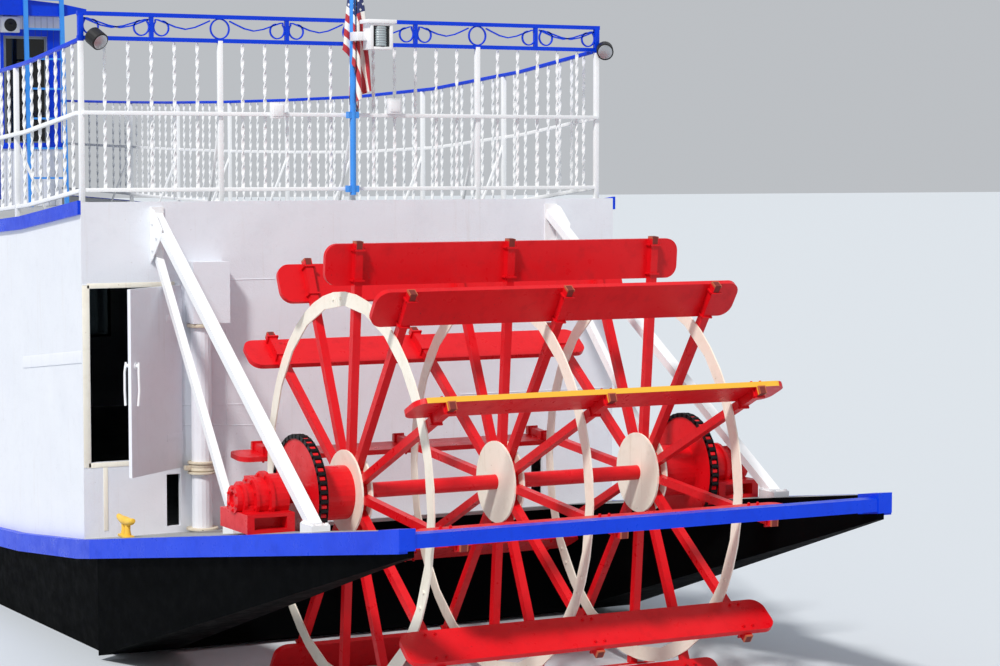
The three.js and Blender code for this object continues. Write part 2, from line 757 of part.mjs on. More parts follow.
// Round floodlights under both ends of the truss: name, x, way it faces
const lampRadius = 80;
const lampLong = 110;
const lampY = railY + tube / 2 + 95;
const lampZ = upperZ(railY) + trussLow - 10;
const floodlights = [
  ['port', 2465, [-0.3, 0.8, -0.5]],
  ['starboard', -2600, [0.45, 0.85, -0.25]],
];
for (const [name, x, facing] of floodlights) {
  const middle = point(x, lampY, lampZ);
  const half = point(...facing).setLength(lampLong / 2);
  add(`${name}_floodlight`, join([
    rod(lampRadius, middle.clone().sub(half), middle.clone().add(half), 20),
    block(x - 20, x + 20, railY + tube / 2 + gap, lampY, lampZ - 8, lampZ + 22),
  ]), 'black');
}

// Paddle wheel: shaft, three frames of spokes, hub plates and rings, twelve boards and two sprockets
const wheel = new THREE.Group();
wheel.position.set(0, wheelY, wheelZ);
boat.add(wheel);

const frames = [['port', frameSpacing], ['middle', 0], ['starboard', -frameSpacing]];
const shaftEnd = 2330;
const drumRadius = 215;

add('wheel_shaft', rod(shaftRadius, point(-shaftEnd, 0, 0), point(shaftEnd, 0, 0), 24), 'red', wheel);

const sleeveRadius = 115;

function disc(x0, x1, radius, bore, sides = 36) {
  return rod(radius, point(x0, 0, 0), point(x1, 0, 0), sides)
    .subtract(rod(bore, point(x0 - 5, 0, 0), point(x1 + 5, 0, 0), 24));
}

function spokes(x) {
  const half = spokeSide / 2;
  const root = 150;
  const bars = [];
  for (let i = 0; i < spokeCount; i += 1) {
    const box = new THREE.BoxGeometry(spokeSide, tipRadius - root, spokeSide);
    box.translate(0, (tipRadius + root) / 2, 0);
    box.rotateX(THREE.MathUtils.degToRad(spokePhase + (i * 360) / spokeCount));
    box.translate(x, 0, 0);
    bars.push(solid(box));
  }
  const core = rod(260, point(x - half, 0, 0), point(x + half, 0, 0), 24);
  const bore = rod(sleeveRadius + gap, point(x - half - 5, 0, 0), point(x + half + 5, 0, 0), 24);
  return join([...bars, core]).subtract(bore);
}

function hub(x) {
  const half = spokeSide / 2 + gap;
  return join([
    disc(x + half, x + half + hubPlate, hubRadius, shaftRadius + gap),
    disc(x - half - hubPlate, x - half, hubRadius, shaftRadius + gap),
    disc(x - half - 1, x + half + 1, sleeveRadius, shaftRadius + gap, 24),
  ]);
}

// A board lies on the counter-clockwise face of its spokes, out to near their tips, with rounded corners
const boardOuter = tipRadius - 25;
const boardCorner = 105;

function board(angle) {
  const [half, low, high] = [boardLong / 2, boardOuter - boardWide, boardOuter];
  const shape = new THREE.Shape();
  shape.moveTo(-half + boardCorner, low);
  for (const [x, y, turn] of [[half, low, -0.5], [half, high, 0], [-half, high, 0.5], [-half, low, 1]]) {
    const [cx, cy] = [x - Math.sign(x) * boardCorner, y + (y === low ? boardCorner : -boardCorner)];
    shape.absarc(cx, cy, boardCorner, turn * Math.PI, (turn + 0.5) * Math.PI, false);
  }
  const plank = new THREE.ExtrudeGeometry(shape, { depth: boardThick, bevelEnabled: false, curveSegments: 4 });
  plank.translate(0, 0, spokeSide / 2 + gap);
  plank.rotateX(angle);
  const seat = new THREE.BoxGeometry(spokeSide, boardWide * 0.9, 4);
  seat.translate(0, (low + high) / 2, spokeSide / 2);
  seat.rotateX(angle);
  return join([solid(plank), solid(seat)]);
}

// The middle frame carries the boards; they pass 0.3 mm clear of the outer frames' spokes
const boards = Array.from({ length: spokeCount }, (_, i) => (
  board(THREE.MathUtils.degToRad(spokePhase + (i * 360) / spokeCount))));

for (const [name, x] of frames) {
  const middle = x === 0;
  const face = x + spokeSide / 2 + gap;
  if (middle) add('middle_spokes_and_boards', join([spokes(x), ...boards]), 'red', wheel);
  else add(`${name}_spokes`, spokes(x), 'red', wheel);
  add(`${name}_hub`, hub(x), 'cream', wheel);
  add(`${name}_ring`, disc(face, face + ringThick, ringOuter, ringOuter - ringWide, 48), 'cream', wheel);
}

// Sprocket: toothed disc with the drum that carries it on the shaft
const toothCount = 40;
const toothDeep = 26;
const sprocketThick = 45;

function sprocket(side) {
  const shape = new THREE.Shape();
  for (let i = 0; i < toothCount; i += 1) {
    const root = sprocketRadius - toothDeep;
    for (const [part, r] of [[0, root], [0.3, sprocketRadius], [0.6, sprocketRadius], [0.9, root]]) {
      const angle = ((i + part) / toothCount) * Math.PI * 2;
      const [x, y] = [r * Math.cos(angle), r * Math.sin(angle)];
      if (i === 0 && part === 0) shape.moveTo(x, y);
      else shape.lineTo(x, y);
    }
  }
  const plate = new THREE.ExtrudeGeometry(shape, { depth: sprocketThick, bevelEnabled: false });
  plate.rotateY(Math.PI / 2);
  plate.translate(sprocketX - sprocketThick / 2, 0, 0);
  const drumStart = frameSpacing + spokeSide / 2 + gap + hubPlate + gap;
  const drum = rod(drumRadius, point(drumStart, 0, 0), point(sprocketX, 0, 0), 32);
  const bore = rod(shaftRadius + gap, point(drumStart - 5, 0, 0), point(sprocketX + 50, 0, 0), 24);
  const body = join([solid(plate), drum]).subtract(bore);
  return side > 0 ? body : body.mirror([1, 0, 0]);
}

add('port_sprocket', sprocket(1), 'red', wheel);
add('starboard_sprocket', sprocket(-1), 'red', wheel);

// Drive unit on each arm: bed with an open box at its aft end, ribbed gearbox and the shaft's bearing
const facets = 24;
const bearingRadius = (shaftRadius + gap) / Math.cos(Math.PI / facets);
const driveIn = 1945;
const bedLong = 560;
const bedDeep = 150;

// Round steps of the drive along the shaft: x from, x to, radius
const driveSteps = [
  [driveIn, 2075, 185], [2075, 2105, 210], [2105, 2190, 160], [2190, 2215, 178],
  [2215, 2275, 118], [2275, 2300, 140], [2300, 2350, 112],
];

function drive(side) {
  const low = Math.max(mainZ(wheelY + bedLong / 2), mainZ(wheelY - bedLong / 2)) + gap;
  const [y0, y1] = [wheelY - bedLong / 2, wheelY + bedLong / 2];
  const span = (a, b, ...rest) => block(a * side, b * side, ...rest);
  const parts = [
    span(driveIn, 2340, y0, y1, low, low + bedDeep),
    span(driveIn, 2300, y0 + 40, wheelY + 120, low + bedDeep - 10, wheelZ - 40),
    span(2020, 2160, wheelY - 230, wheelY - 60, wheelZ - 80, wheelZ + 150),
    ...driveSteps.map(([x0, x1, radius]) => (
      rod(radius, point(x0 * side, wheelY, wheelZ), point(x1 * side, wheelY, wheelZ), facets))),
  ];
  const pocket = span(2010, 2280, y1 - 130, y1 + cutOver, low + 28, low + bedDeep - 28);
  const [inside, outside] = [driveIn - 20, 2400].map((x) => point(x * side, wheelY, wheelZ));
  const bore = rod(bearingRadius, inside, outside, facets);
  return join(parts).subtract(bore).subtract(pocket);
}

add('port_drive', drive(1), 'red');
add('starboard_drive', drive(-1), 'red');

// Struts from the gusset on the transom down to the arm, leaning outboard
const strutTopX = 1960;
const strutFootX = 2060;

function strut(side) {
  const [topX, footX] = [strutTopX * side, strutFootX * side];
  const top = upperZ(transomY) - 140;
  const upperFootY = wheelY + 930;
  const lowerFootY = wheelY - 640;
  const clear = block(-3000, 3000, transomY - 400, transomY + gap, 0, 6000);
  const pads = [upperFootY, lowerFootY].map((y) => (
    block(footX - 75, footX + 75, y - 110, y + 110, mainZ(y) - 40, mainZ(y) + 60)));
  const bars = join([
    bar(point(topX, transomY - 40, top + 25), point(footX, upperFootY, mainZ(upperFootY) + 40), 100, 70),
    bar(point(topX, transomY - 40, top - 250), point(footX, lowerFootY, mainZ(lowerFootY) + 40), 60, 70),
    block(topX - 60, topX + 60, transomY - 10, transomY + 14, top - 330, top + 90),
    ...pads,
  ]);
  return bars.subtract(clear).subtract(arm(side).translate([0, 0, gap]));
}

add('port_struts', strut(1), 'white');
add('starboard_struts', strut(-1), 'white');

// A hinge knuckle is a round barrel just clear of the wall, on the leaf's own turning axis
const knuckle = (x, y, radius, z0, z1) => rod(radius, point(x, y, z0), point(x, y, z1), 16);

// Service door of the transom, swung out until it meets the lower strut
const leafThick = 30;
const leafHinge = [1762, transomY + leafThick / 2 + 5];
const leafOpen = 39;
const leafWide = 840;
const leafLow = serviceDoor[2] - 80;
const leafHigh = serviceDoor[3] + 15;
const leaf = new THREE.Group();
leaf.position.set(leafHinge[0], leafHinge[1], 0);
leaf.rotation.z = THREE.MathUtils.degToRad(leafOpen);
boat.add(leaf);
add('transom_door', join([
  block(0, leafWide, -leafThick / 2, leafThick / 2, leafLow, leafHigh),
  knuckle(0, 0, leafThick / 2 + 5 - gap, leafLow + 120, leafLow + 320),
  knuckle(0, 0, leafThick / 2 + 5 - gap, leafHigh - 320, leafHigh - 120),
]), 'white', leaf);

// Outward-opening door leaf: hinge at x0, free edge at x1, outer face at y, out is the sign of Y outside
function doorLeaf(x0, x1, y, out, z0, z1) {
  const side = Math.sign(x1 - x0);
  const barrel = 8;
  const axis = y + out * barrel;
  const straps = [z0 + 200, z1 - 300].flatMap((z) => [
    knuckle(x0, axis, barrel - gap, z, z + 100),
    block(x0 + side * 3, x0 + side * 60, y - out, y + out * barrel, z, z + 100),
  ]);
  return join([block(x0 + side * doorGap, x1, y - out * 40, y, z0, z1), ...straps]);
}

// Doors: two leaves in the front wall and one in the aft wall of the pilothouse
const doorGap = 6;
const frontDoorLow = onMain(houseFrontY, 0) + 4 + 40 + doorGap;
const frontDoorHigh = onMain(houseFrontY, 0) + 4 + frontDoorTall - doorGap;
for (const [name, side] of [['port', 1], ['starboard', -1]]) {
  const [hinge, latch] = [frontDoorHalf * side, (doorGap / 2) * side];
  const body = doorLeaf(hinge, latch, houseFrontY, -1, frontDoorLow, frontDoorHigh);
  add(`${name}_front_door`, body, 'blue');
}
add('pilothouse_door', doorLeaf(pilotDoor[1], pilotDoor[0] + doorGap, pilotAftY, 1,
  pilotFloor + 60 + doorGap, pilotFloor + 2060 - doorGap), 'blue');

// Exhaust: silencer box high on the transom with its pipe down to the deck
add('exhaust', join([
  block(1360, 1700, transomY + gap, transomY + 200, 2850, 3390),
  rod(90, point(1600, transomY + 105, mainZ(transomY + 200) + gap), point(1600, transomY + 105, 2870), 16),
]), 'white');

// Rudders hang below the stern rake on their posts
const rudderX = 1100;
const rudderY = 5750;
const rudderTop = -170;
const rudderLow = -860;
const stockRadius = 38;
const stockClear = 0.5;

function hullBottom(x, y) {
  const [, , bilge, bilgeZ, bottomZ] = sectionAt(y);
  return THREE.MathUtils.mapLinear(Math.abs(x), 0, bilge, bottomZ, bilgeZ);
}

const stockTop = hullBottom(rudderX - stockRadius, rudderY - stockRadius) - stockClear;
for (const [name, side] of [['port', 1], ['starboard', -1]]) {
  const x = rudderX * side;
  add(`${name}_rudder`, join([
    block(x - 20, x + 20, rudderY - 260, rudderY + 620, rudderLow, rudderTop),
    rod(stockRadius, point(x, rudderY, rudderLow), point(x, rudderY, stockTop), 16),
  ]), 'hull');
}

// Porch posts carry the upper deck ahead of the house
for (const [name, side] of [['port', 1], ['starboard', -1]]) {
  const parts = [-9700, -8750].map((y) => {
    const x = (halfWidth(y) - 130) * side;
    const head = Math.min(upperZ(y - 35), upperZ(y + 35)) - upperPlate - gap;
    return block(x - 35, x + 35, y - 35, y + 35, onMain(y, 35), head);
  });
  const rails = [];
  for (const height of [500, 950]) {
    const ys = [-12300, -11200, -9800, -8750];
    rails.push(loft(ys.map((y) => {
      const [x, z] = [(halfWidth(y) - 130) * side, mainZ(y) + height];
      return band(x - 18, x + 18, y, z - 18, z + 18);
    })));
  }
  for (const y of [-12260, -11200, -10450]) {
    const x = (halfWidth(y) - 130) * side;
    rails.push(block(x - 22, x + 22, y - 22, y + 22, onMain(y, 22), mainZ(y) + 950));
  }
  add(`${name}_bow_rail`, join([...parts, ...rails]), 'white');
}

// Engine on the main deck behind the transom
add('engine', block(-450, 450, 3300, 5000, onMain(4150, 850), mainZ(5000) + 1050), 'grey');

// Bitts and cleat on deck
const cleatY = 6300;
add('port_cleat', join([
  block(2440, 2520, cleatY - 60, cleatY + 60, mainZ(cleatY + 60) + gap, mainZ(cleatY) + 140),
  rod(40, point(2480, cleatY - 190, mainZ(cleatY) + 150), point(2480, cleatY + 190, mainZ(cleatY) + 150), 12),
]), 'yellow');

export default boat;
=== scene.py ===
import math
import bpy
import bmesh
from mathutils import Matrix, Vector


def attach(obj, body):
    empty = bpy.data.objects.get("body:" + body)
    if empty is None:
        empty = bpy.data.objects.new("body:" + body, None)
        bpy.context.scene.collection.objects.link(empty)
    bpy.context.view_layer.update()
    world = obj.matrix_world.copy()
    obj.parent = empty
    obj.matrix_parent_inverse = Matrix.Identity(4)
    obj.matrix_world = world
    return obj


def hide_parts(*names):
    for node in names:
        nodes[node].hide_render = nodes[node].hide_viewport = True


# Sternwheel paddle steamer, metres: +X port, +Y aft, +Z up, origin amidships on the waterline
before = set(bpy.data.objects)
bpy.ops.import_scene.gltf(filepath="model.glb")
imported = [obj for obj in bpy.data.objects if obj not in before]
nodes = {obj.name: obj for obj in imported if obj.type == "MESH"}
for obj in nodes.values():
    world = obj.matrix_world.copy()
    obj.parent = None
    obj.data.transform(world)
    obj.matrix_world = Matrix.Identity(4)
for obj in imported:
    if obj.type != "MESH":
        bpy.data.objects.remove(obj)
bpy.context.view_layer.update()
finishes = {}

# Camera, light and floor
view = {
    "cameraPlace": (9.526, 26.399, 4.257),
    "turn": 27.883,  # degrees from straight ahead
    "down": 3.9,
    "lens": 90.11,
    "sensor": 36.0,
    "farClip": 2000.0,
    "sunFrom": (0.54, 0.40, 0.74),
    "sunColour": (1.0, 0.975, 0.94),
    "sunStrength": 3.0,
    "sunSoftness": 7.0,  # degrees across, as of a large soft box
    "skyColour": "#E9EDF2",
    "skyStrength": 0.62,
    "floorHalf": 260.0,
    "floorColour": "#CDD3D9",
    "floorRoughness": 0.85,
}


def hexColour(code):
    channels = [int(code[i:i + 2], 16) / 255 for i in (1, 3, 5)]
    linear = [c / 12.92 if c <= 0.04045 else ((c + 0.055) / 1.055) ** 2.4 for c in channels]
    return (*linear, 1.0)


def setInputs(tree, node, inputs):
    # a node stands for its first output, and a list is linked one after another
    for socket, values in inputs.items():
        for value in values if isinstance(values, list) else [values]:
            if isinstance(value, bpy.types.Node):
                value = value.outputs[0]
            if isinstance(value, bpy.types.NodeSocket):
                tree.links.new(value, node.inputs[socket])
            else:
                node.inputs[socket].default_value = value


def addNode(tree, kind, inputs=None, **settings):
    node = tree.nodes.new(kind)
    for name, value in settings.items():
        setattr(node, name, value)
    setInputs(tree, node, inputs or {})
    return node


def addObject(name, data):
    thing = bpy.data.objects.new(name, data)
    bpy.context.scene.collection.objects.link(thing)
    return thing


def newFinish(name, base=None):
    # a fresh material, or a copy of the finish that this one is built on
    if base:
        material = finishes[base].copy()
        material.name = name
    else:
        material = bpy.data.materials.new(name)
        material.use_nodes = True
    finishes[name] = material
    return material.node_tree, material.node_tree.nodes["Principled BSDF"]


def makeCamera():
    data = bpy.data.cameras.new("camera")
    data.lens = view["lens"]
    data.sensor_width = view["sensor"]
    data.sensor_fit = "HORIZONTAL"
    data.clip_end = view["farClip"]
    camera = addObject("camera", data)
    turn, down = math.radians(view["turn"]), math.radians(view["down"])
    ahead = Vector((-math.sin(turn) * math.cos(down), -math.cos(turn) * math.cos(down), -math.sin(down)))
    camera.rotation_euler = ahead.to_track_quat("-Z", "Y").to_euler()
    camera.location = view["cameraPlace"]
    bpy.context.scene.camera = camera


def makeLight():
    sun = bpy.data.lights.new("keyLight", "SUN")
    sun.energy = view["sunStrength"]
    sun.angle = math.radians(view["sunSoftness"])
    sun.color = view["sunColour"]
    lamp = addObject("keyLight", sun)
    lamp.rotation_euler = Vector(view["sunFrom"]).to_track_quat("Z", "Y").to_euler()
    world = bpy.data.worlds.new("studio")
    world.use_nodes = True
    sky = {"Color": hexColour(view["skyColour"]), "Strength": view["skyStrength"]}
    setInputs(world.node_tree, world.node_tree.nodes["Background"], sky)
    bpy.context.scene.world = world
    bpy.context.scene.view_settings.view_transform = "Standard"


def makeFloor():
    half = view["floorHalf"]
    mesh = bpy.data.meshes.new("floor")
    corners = [(-half, -half, 0), (half, -half, 0), (half, half, 0), (-half, half, 0)]
    mesh.from_pydata(corners, [], [(0, 1, 2, 3)])
    tree, shader = newFinish("paleFloor")
    setInputs(tree, shader, {"Base Color": hexColour(view["floorColour"]), "Roughness": view["floorRoughness"]})
    mesh.materials.append(finishes["paleFloor"])
    addObject("floor", mesh)


makeCamera()
makeLight()
makeFloor()
print("camera, light and floor are set")

# Paints: every painted surface is built up in the same coats, from the values in its row
paintColumns = (
    "coat", "faded", "dirt", "under", "streakColour",
    "roughness", "fade", "grime", "chips", "streaks", "bump", "shine")
paints = {
    # brushed alkyd enamel on steel: glossy, chalks pale where the weather reaches it
    "glossEnamelRed": (
        "#D40A16", "#E21C26", "#74070F", "#5A1B17", "#6E1216", 0.30, 0.55, 0.30, 0.30, 0.10, 0.25, 0.3),
    "glossEnamelCream": (
        "#F3EDDD", "#FBF8EE", "#C9BFA6", "#8B5A3A", "#A8784E", 0.34, 0.5, 0.35, 0.30, 0.20, 0.25, 0.5),
    "glossEnamelBlue": (
        "#0038D2", "#0048E8", "#06249A", "#2B3350", "#082482", 0.28, 0.6, 0.35, 0.22, 0.12, 0.3, 0.25),
    "glossEnamelLightBlue": (
        "#2F8AE8", "#58A6F2", "#1C5CB4", "#39507A", "#2A5FA0", 0.30, 0.5, 0.3, 0.2, 0.1, 0.25, 0.5),
    "glossEnamelYellow": (
        "#F0BE36", "#F7CF58", "#B88A24", "#6B4A2A", "#8A6630", 0.35, 0.5, 0.4, 0.45, 0.1, 0.4, 0.5),
    # satin alkyd on plate: cool white that shows dents, weld lines and faint rust runs
    "satinEnamelWhite": (
        "#E3E6EE", "#EAEDF3", "#C9CCD4", "#8A6F5E", "#B9A48E", 0.42, 0.5, 0.2, 0.12, 0.14, 0.5, 0.5),
    "satinEnamelRail": (
        "#EEF0F3", "#FAFAFA", "#C9CBCE", "#8F7A68", "#B7A48E", 0.36, 0.5, 0.25, 0.18, 0.12, 0.25, 0.5),
    # white paint that rust has lifted, as on the exhaust's clamp
    "rustStainedWhite": (
        "#D8D0BE", "#C9BA9F", "#7B5737", "#5E3B24", "#8A5C34", 0.6, 0.8, 0.9, 0.5, 0.6, 0.9, 0.5),
    # bitumen hull paint: near black, half matt, with faint runs
    "bitumenBlack": (
        "#030405", "#060708", "#0A0A0A", "#1C1511", "#0F0C0A", 0.6, 0.5, 0.3, 0.12, 0.25, 0.1, 0.02),
    # grit-filled deck paint: matt and worn in patches
    "nonSlipDeckGrey": (
        "#A2A5A6", "#B4B6B5", "#7C7E7E", "#6B5A4E", "#77706A", 0.85, 0.7, 0.6, 0.25, 0.0, 0.8, 0.5),
    # silicone stove paint: dull black, greying with heat
    "heatproofBlack": (
        "#15161A", "#24262A", "#0A0A0B", "#4A3024", "#4A3B30", 0.62, 0.5, 0.4, 0.2, 0.35, 0.3, 0.5),
    # oil-stained machine enamel
    "enamelMachineGrey": (
        "#868C94", "#989DA4", "#4A4E54", "#3B3D40", "#3E3A36", 0.45, 0.4, 0.5, 0.3, 0.2, 0.3, 0.5),
}


def paintCoats(name, row):
    tree, shader = newFinish(name)
    place = addNode(tree, "ShaderNodeTexCoord").outputs["Object"]
    streaked = addNode(tree, "ShaderNodeMapping", {"Vector": place, "Scale": (16.0, 16.0, 0.9)})
    layers = (  # place, scale, detail, roughness, value where it starts and is full, its most, its colour
        # sun fading in patches about a metre across
        (place, 1.1, 3.0, 0.6, 0.35, 0.7, row["fade"], row["faded"]),
        # grime that gathers in clouds of 50 to 150 mm
        (place, 8.0, 5.0, 0.65, 0.52, 0.82, row["grime"], row["dirt"]),
        # runs of rain and rust, about 30 mm wide and up to a metre long
        (streaked, 1.0, 4.0, 0.7, 0.58, 0.78, row["streaks"], row["streakColour"]),
        # chips down to primer or rust, 8 to 25 mm, drawn a little coarse so that they show from the quay
        (place, 38.0, 2.0, 0.5, 0.74, 0.78, row["chips"] * 2.0, row["under"]),
    )
    colour, patterns, amounts = hexColour(row["coat"]), [], []
    for where, scale, detail, rough, start, full, most, tint in layers:
        noise = {"Vector": where, "Scale": scale, "Detail": detail, "Roughness": rough}
        patterns.append(addNode(tree, "ShaderNodeTexNoise", noise))
        ends = {"Value": patterns[-1], "From Min": start, "From Max": full, "To Max": most}
        amounts.append(addNode(tree, "ShaderNodeMapRange", ends))
        mix = {"Factor": amounts[-1], 6: colour, 7: hexColour(tint)}
        colour = addNode(tree, "ShaderNodeMix", mix, data_type="RGBA").outputs[2]
    clouds, worn = patterns[1], amounts[3]
    # brush marks and orange peel over shallow dents
    peel = addNode(tree, "ShaderNodeTexNoise", {"Vector": place, "Scale": 60.0, "Detail": 3.0, "Roughness": 0.6})
    dents = addNode(tree, "ShaderNodeTexNoise", {"Vector": place, "Scale": 2.6, "Detail": 1.0, "Roughness": 0.4})
    relief = addNode(tree, "ShaderNodeMath", {0: dents, 1: 6.0, 2: peel}, operation="MULTIPLY_ADD")
    lowered = addNode(tree, "ShaderNodeMath", {0: relief, 1: worn}, operation="SUBTRACT")
    dull = row["roughness"]
    ends = {"From Min": 0.3, "From Max": 0.8, "To Min": dull - 0.06, "To Max": dull + 0.22}
    setInputs(tree, shader, {
        "Base Color": colour,
        "Normal": addNode(tree, "ShaderNodeBump", {"Height": lowered, "Strength": row["bump"], "Distance": 0.004}),
        "Roughness": addNode(tree, "ShaderNodeMapRange", {"Value": clouds, **ends}),
        "IOR": 1.5,
        "Specular IOR Level": row["shine"],
    })


for paintName, values in paints.items():
    paintCoats(paintName, dict(zip(paintColumns, values)))


def plainFinish(name, colour, roughness, metallic):
    tree, shader = newFinish(name)
    place = addNode(tree, "ShaderNodeTexCoord").outputs["Object"]
    mottle = addNode(tree, "ShaderNodeTexNoise", {"Vector": place, "Scale": 22.0, "Detail": 4.0, "Roughness": 0.6})
    low = tuple(c * 0.72 for c in hexColour(colour)[:3]) + (1.0,)
    shade = addNode(tree, "ShaderNodeMix", {"Factor": mottle, 6: low, 7: hexColour(colour)}, data_type="RGBA")
    ends = {"Value": mottle, "To Min": roughness - 0.08, "To Max": roughness + 0.12}
    setInputs(tree, shader, {
        "Base Color": shade.outputs[2],
        "Metallic": metallic,
        "Roughness": addNode(tree, "ShaderNodeMapRange", ends),
        "Normal": addNode(tree, "ShaderNodeBump", {"Height": mottle, "Strength": 0.3, "Distance": 0.002}),
    })


plainRows = [
    # name, colour, roughness, metallic: what the eye gets
    ("greasedChainSteel", "#1B1B1E", 0.42, 0.6),  # black grease with a dull shine
    # dark red of the plates at the spokes' tips: painted shade for the hollow inside the channels
    ("hollowShadeRed", "#7E2A22", 0.7, 0.0),  # dull brown red inside the spokes' channels
    ("nitrileRubber", "#17181A", 0.6, 0.0),  # window gaskets
    ("castAluminium", "#C3C7CB", 0.35, 0.9),  # reflectors of the floodlights
    ("mouldedBlack", "#121316", 0.5, 0.0),  # lamp housings and the horn's throat
    ("anodisedGrey", "#8D9298", 0.4, 0.7),  # window frames of the pilothouse
    ("ribbedPolycarbonate", "#AEBBC0", 0.12, 0.0),  # lens of the stern light
]
for plainRow in plainRows:
    plainFinish(*plainRow)

# The wheel's main sizes, which its finish and its hardware share
wheel = {
    "y": 8.4, "z": 1.65, "tipRadius": 2.0, "spokeSide": 0.065, "frames": (1.35, 0.0, -1.35),
    "phase": 85.0, "count": 12, "boardOuter": 1.975, "ringOuter": 1.59, "ringWide": 0.11, "ringThick": 0.012,
    "sprocketX": 1.78, "yellowAngle": 26.9, "yellowReach": 0.06, "wornEnd": 0.016,
}


def coverPaint(tree, shader, share, colour):
    # lays a colour over the paint by that share
    under = shader.inputs["Base Color"].links[0].from_socket
    mixed = addNode(tree, "ShaderNodeMix", {"Factor": share, 6: under, 7: hexColour(colour)}, data_type="RGBA")
    setInputs(tree, shader, {"Base Color": mixed.outputs[2]})


def topGrey():
    # hull side plate whose walked-on top edge carries grey deck paint
    tree, shader = newFinish("bitumenBlackWithDeckTop", "bitumenBlack")
    normal = addNode(tree, "ShaderNodeNewGeometry").outputs["True Normal"]
    facing = addNode(tree, "ShaderNodeSeparateXYZ", {"Vector": normal})
    top = addNode(tree, "ShaderNodeMath", {0: facing.outputs["Z"], 1: 0.7}, operation="GREATER_THAN")
    coverPaint(tree, shader, top, "#9EA2A4")


def wheelRed():
    # the wheel's red: one board has a yellow outer edge, and driftwood has worn the spokes' ends
    tree, shader = newFinish("wheelEnamelRed", "glossEnamelRed")
    place = addNode(tree, "ShaderNodeTexCoord").outputs["Object"]
    split = addNode(tree, "ShaderNodeSeparateXYZ", {"Vector": place})
    sums = {"y": split.outputs["Y"], "z": split.outputs["Z"]}
    steps = (  # result, operation, what it works on
        ("aft", "SUBTRACT", "y", wheel["y"]),
        ("up", "SUBTRACT", "z", wheel["z"]),
        ("angle", "ARCTAN2", "up", "aft"),
        ("square", "MULTIPLY", "aft", "aft"),
        ("squares", "MULTIPLY_ADD", "up", "up", "square"),
        ("reach", "SQRT", "squares"),
        ("near", "COMPARE", "angle", math.radians(wheel["yellowAngle"]), wheel["yellowReach"]),
        ("edge", "GREATER_THAN", "reach", wheel["boardOuter"] - 0.004),
        ("low", "LESS_THAN", "reach", wheel["boardOuter"] + 0.012),
        ("inside", "MULTIPLY", "near", "edge"),
        ("yellow", "MULTIPLY", "inside", "low"),
        ("tips", "GREATER_THAN", "reach", wheel["tipRadius"] - wheel["wornEnd"]),
        ("worn", "MULTIPLY", "tips", 0.7),
    )
    for name, operation, *values in steps:
        inputs = {i: sums.get(value, value) for i, value in enumerate(values)}
        sums[name] = addNode(tree, "ShaderNodeMath", inputs, operation=operation)
    coverPaint(tree, shader, sums["yellow"], "#EDB63E")
    coverPaint(tree, shader, sums["worn"], "#A5704C")


def boardedPaint(name, base, axis, pitch=0.085):
    # painted tongue-and-groove boarding: a V groove every pitch metres across the given axis, with painted shade
    # in each groove
    tree, shader = newFinish(name, base)
    place = addNode(tree, "ShaderNodeTexCoord").outputs["Object"]
    split = addNode(tree, "ShaderNodeSeparateXYZ", {"Vector": place})
    share = addNode(tree, "ShaderNodeMath", {0: split.outputs[axis], 1: pitch}, operation="DIVIDE")
    part = addNode(tree, "ShaderNodeMath", {0: share}, operation="FRACT")
    groove = addNode(tree, "ShaderNodeMath", {0: part, 1: 0.5, 2: 0.44}, operation="COMPARE")
    relief = {"Height": groove, "Strength": 0.8, "Distance": 0.006}
    relief["Normal"] = shader.inputs["Normal"].links[0].from_socket
    setInputs(tree, shader, {"Normal": addNode(tree, "ShaderNodeBump", relief)})
    # grey laid into each groove: painted shade in the V grooves
    grooveShade = addNode(tree, "ShaderNodeMapRange", {"Value": groove, "To Min": 0.35, "To Max": 0.0})
    coverPaint(tree, shader, grooveShade, "#5B6068")


def shadeDarkGlass():
    # grey-tinted float glass, dusty, darkened to near black: the darkness is painted shade for the unlit inside of
    # the house
    tree, shader = newFinish("glassDarkenedAsShade")
    place = addNode(tree, "ShaderNodeTexCoord").outputs["Object"]
    dust = addNode(tree, "ShaderNodeTexNoise", {"Vector": place, "Scale": 5.0, "Detail": 3.0})
    ends = {"Value": dust, "From Min": 0.4, "From Max": 0.8, "To Min": 0.02, "To Max": 0.16}
    setInputs(tree, shader, {
        # near-black colour of the glass: painted shade for the dark inside
        "Base Color": hexColour("#181D1F"),
        "Roughness": addNode(tree, "ShaderNodeMapRange", ends),
        "Transmission Weight": 0.85,
        "IOR": 1.5,
    })


def varnishedOak():
    # quarter-sawn oak under varnish: grain 4 mm wide along the length, drawn at 12 mm so that it shows
    tree, shader = newFinish("varnishedOak")
    place = addNode(tree, "ShaderNodeTexCoord").outputs["Object"]
    along = addNode(tree, "ShaderNodeMapping", {"Vector": place, "Scale": (80.0, 80.0, 4.0)})
    grain = addNode(tree, "ShaderNodeTexNoise", {"Vector": along, "Scale": 1.0, "Detail": 4.0, "Distortion": 0.6})
    mix = {"Factor": grain, 6: hexColour("#5E3519"), 7: hexColour("#B07A43")}
    setInputs(tree, shader, {
        "Base Color": addNode(tree, "ShaderNodeMix", mix, data_type="RGBA").outputs[2],
        "Normal": addNode(tree, "ShaderNodeBump", {"Height": grain, "Strength": 0.2, "Distance": 0.001}),
        "Roughness": 0.28,
        "Coat Weight": 0.5,
    })


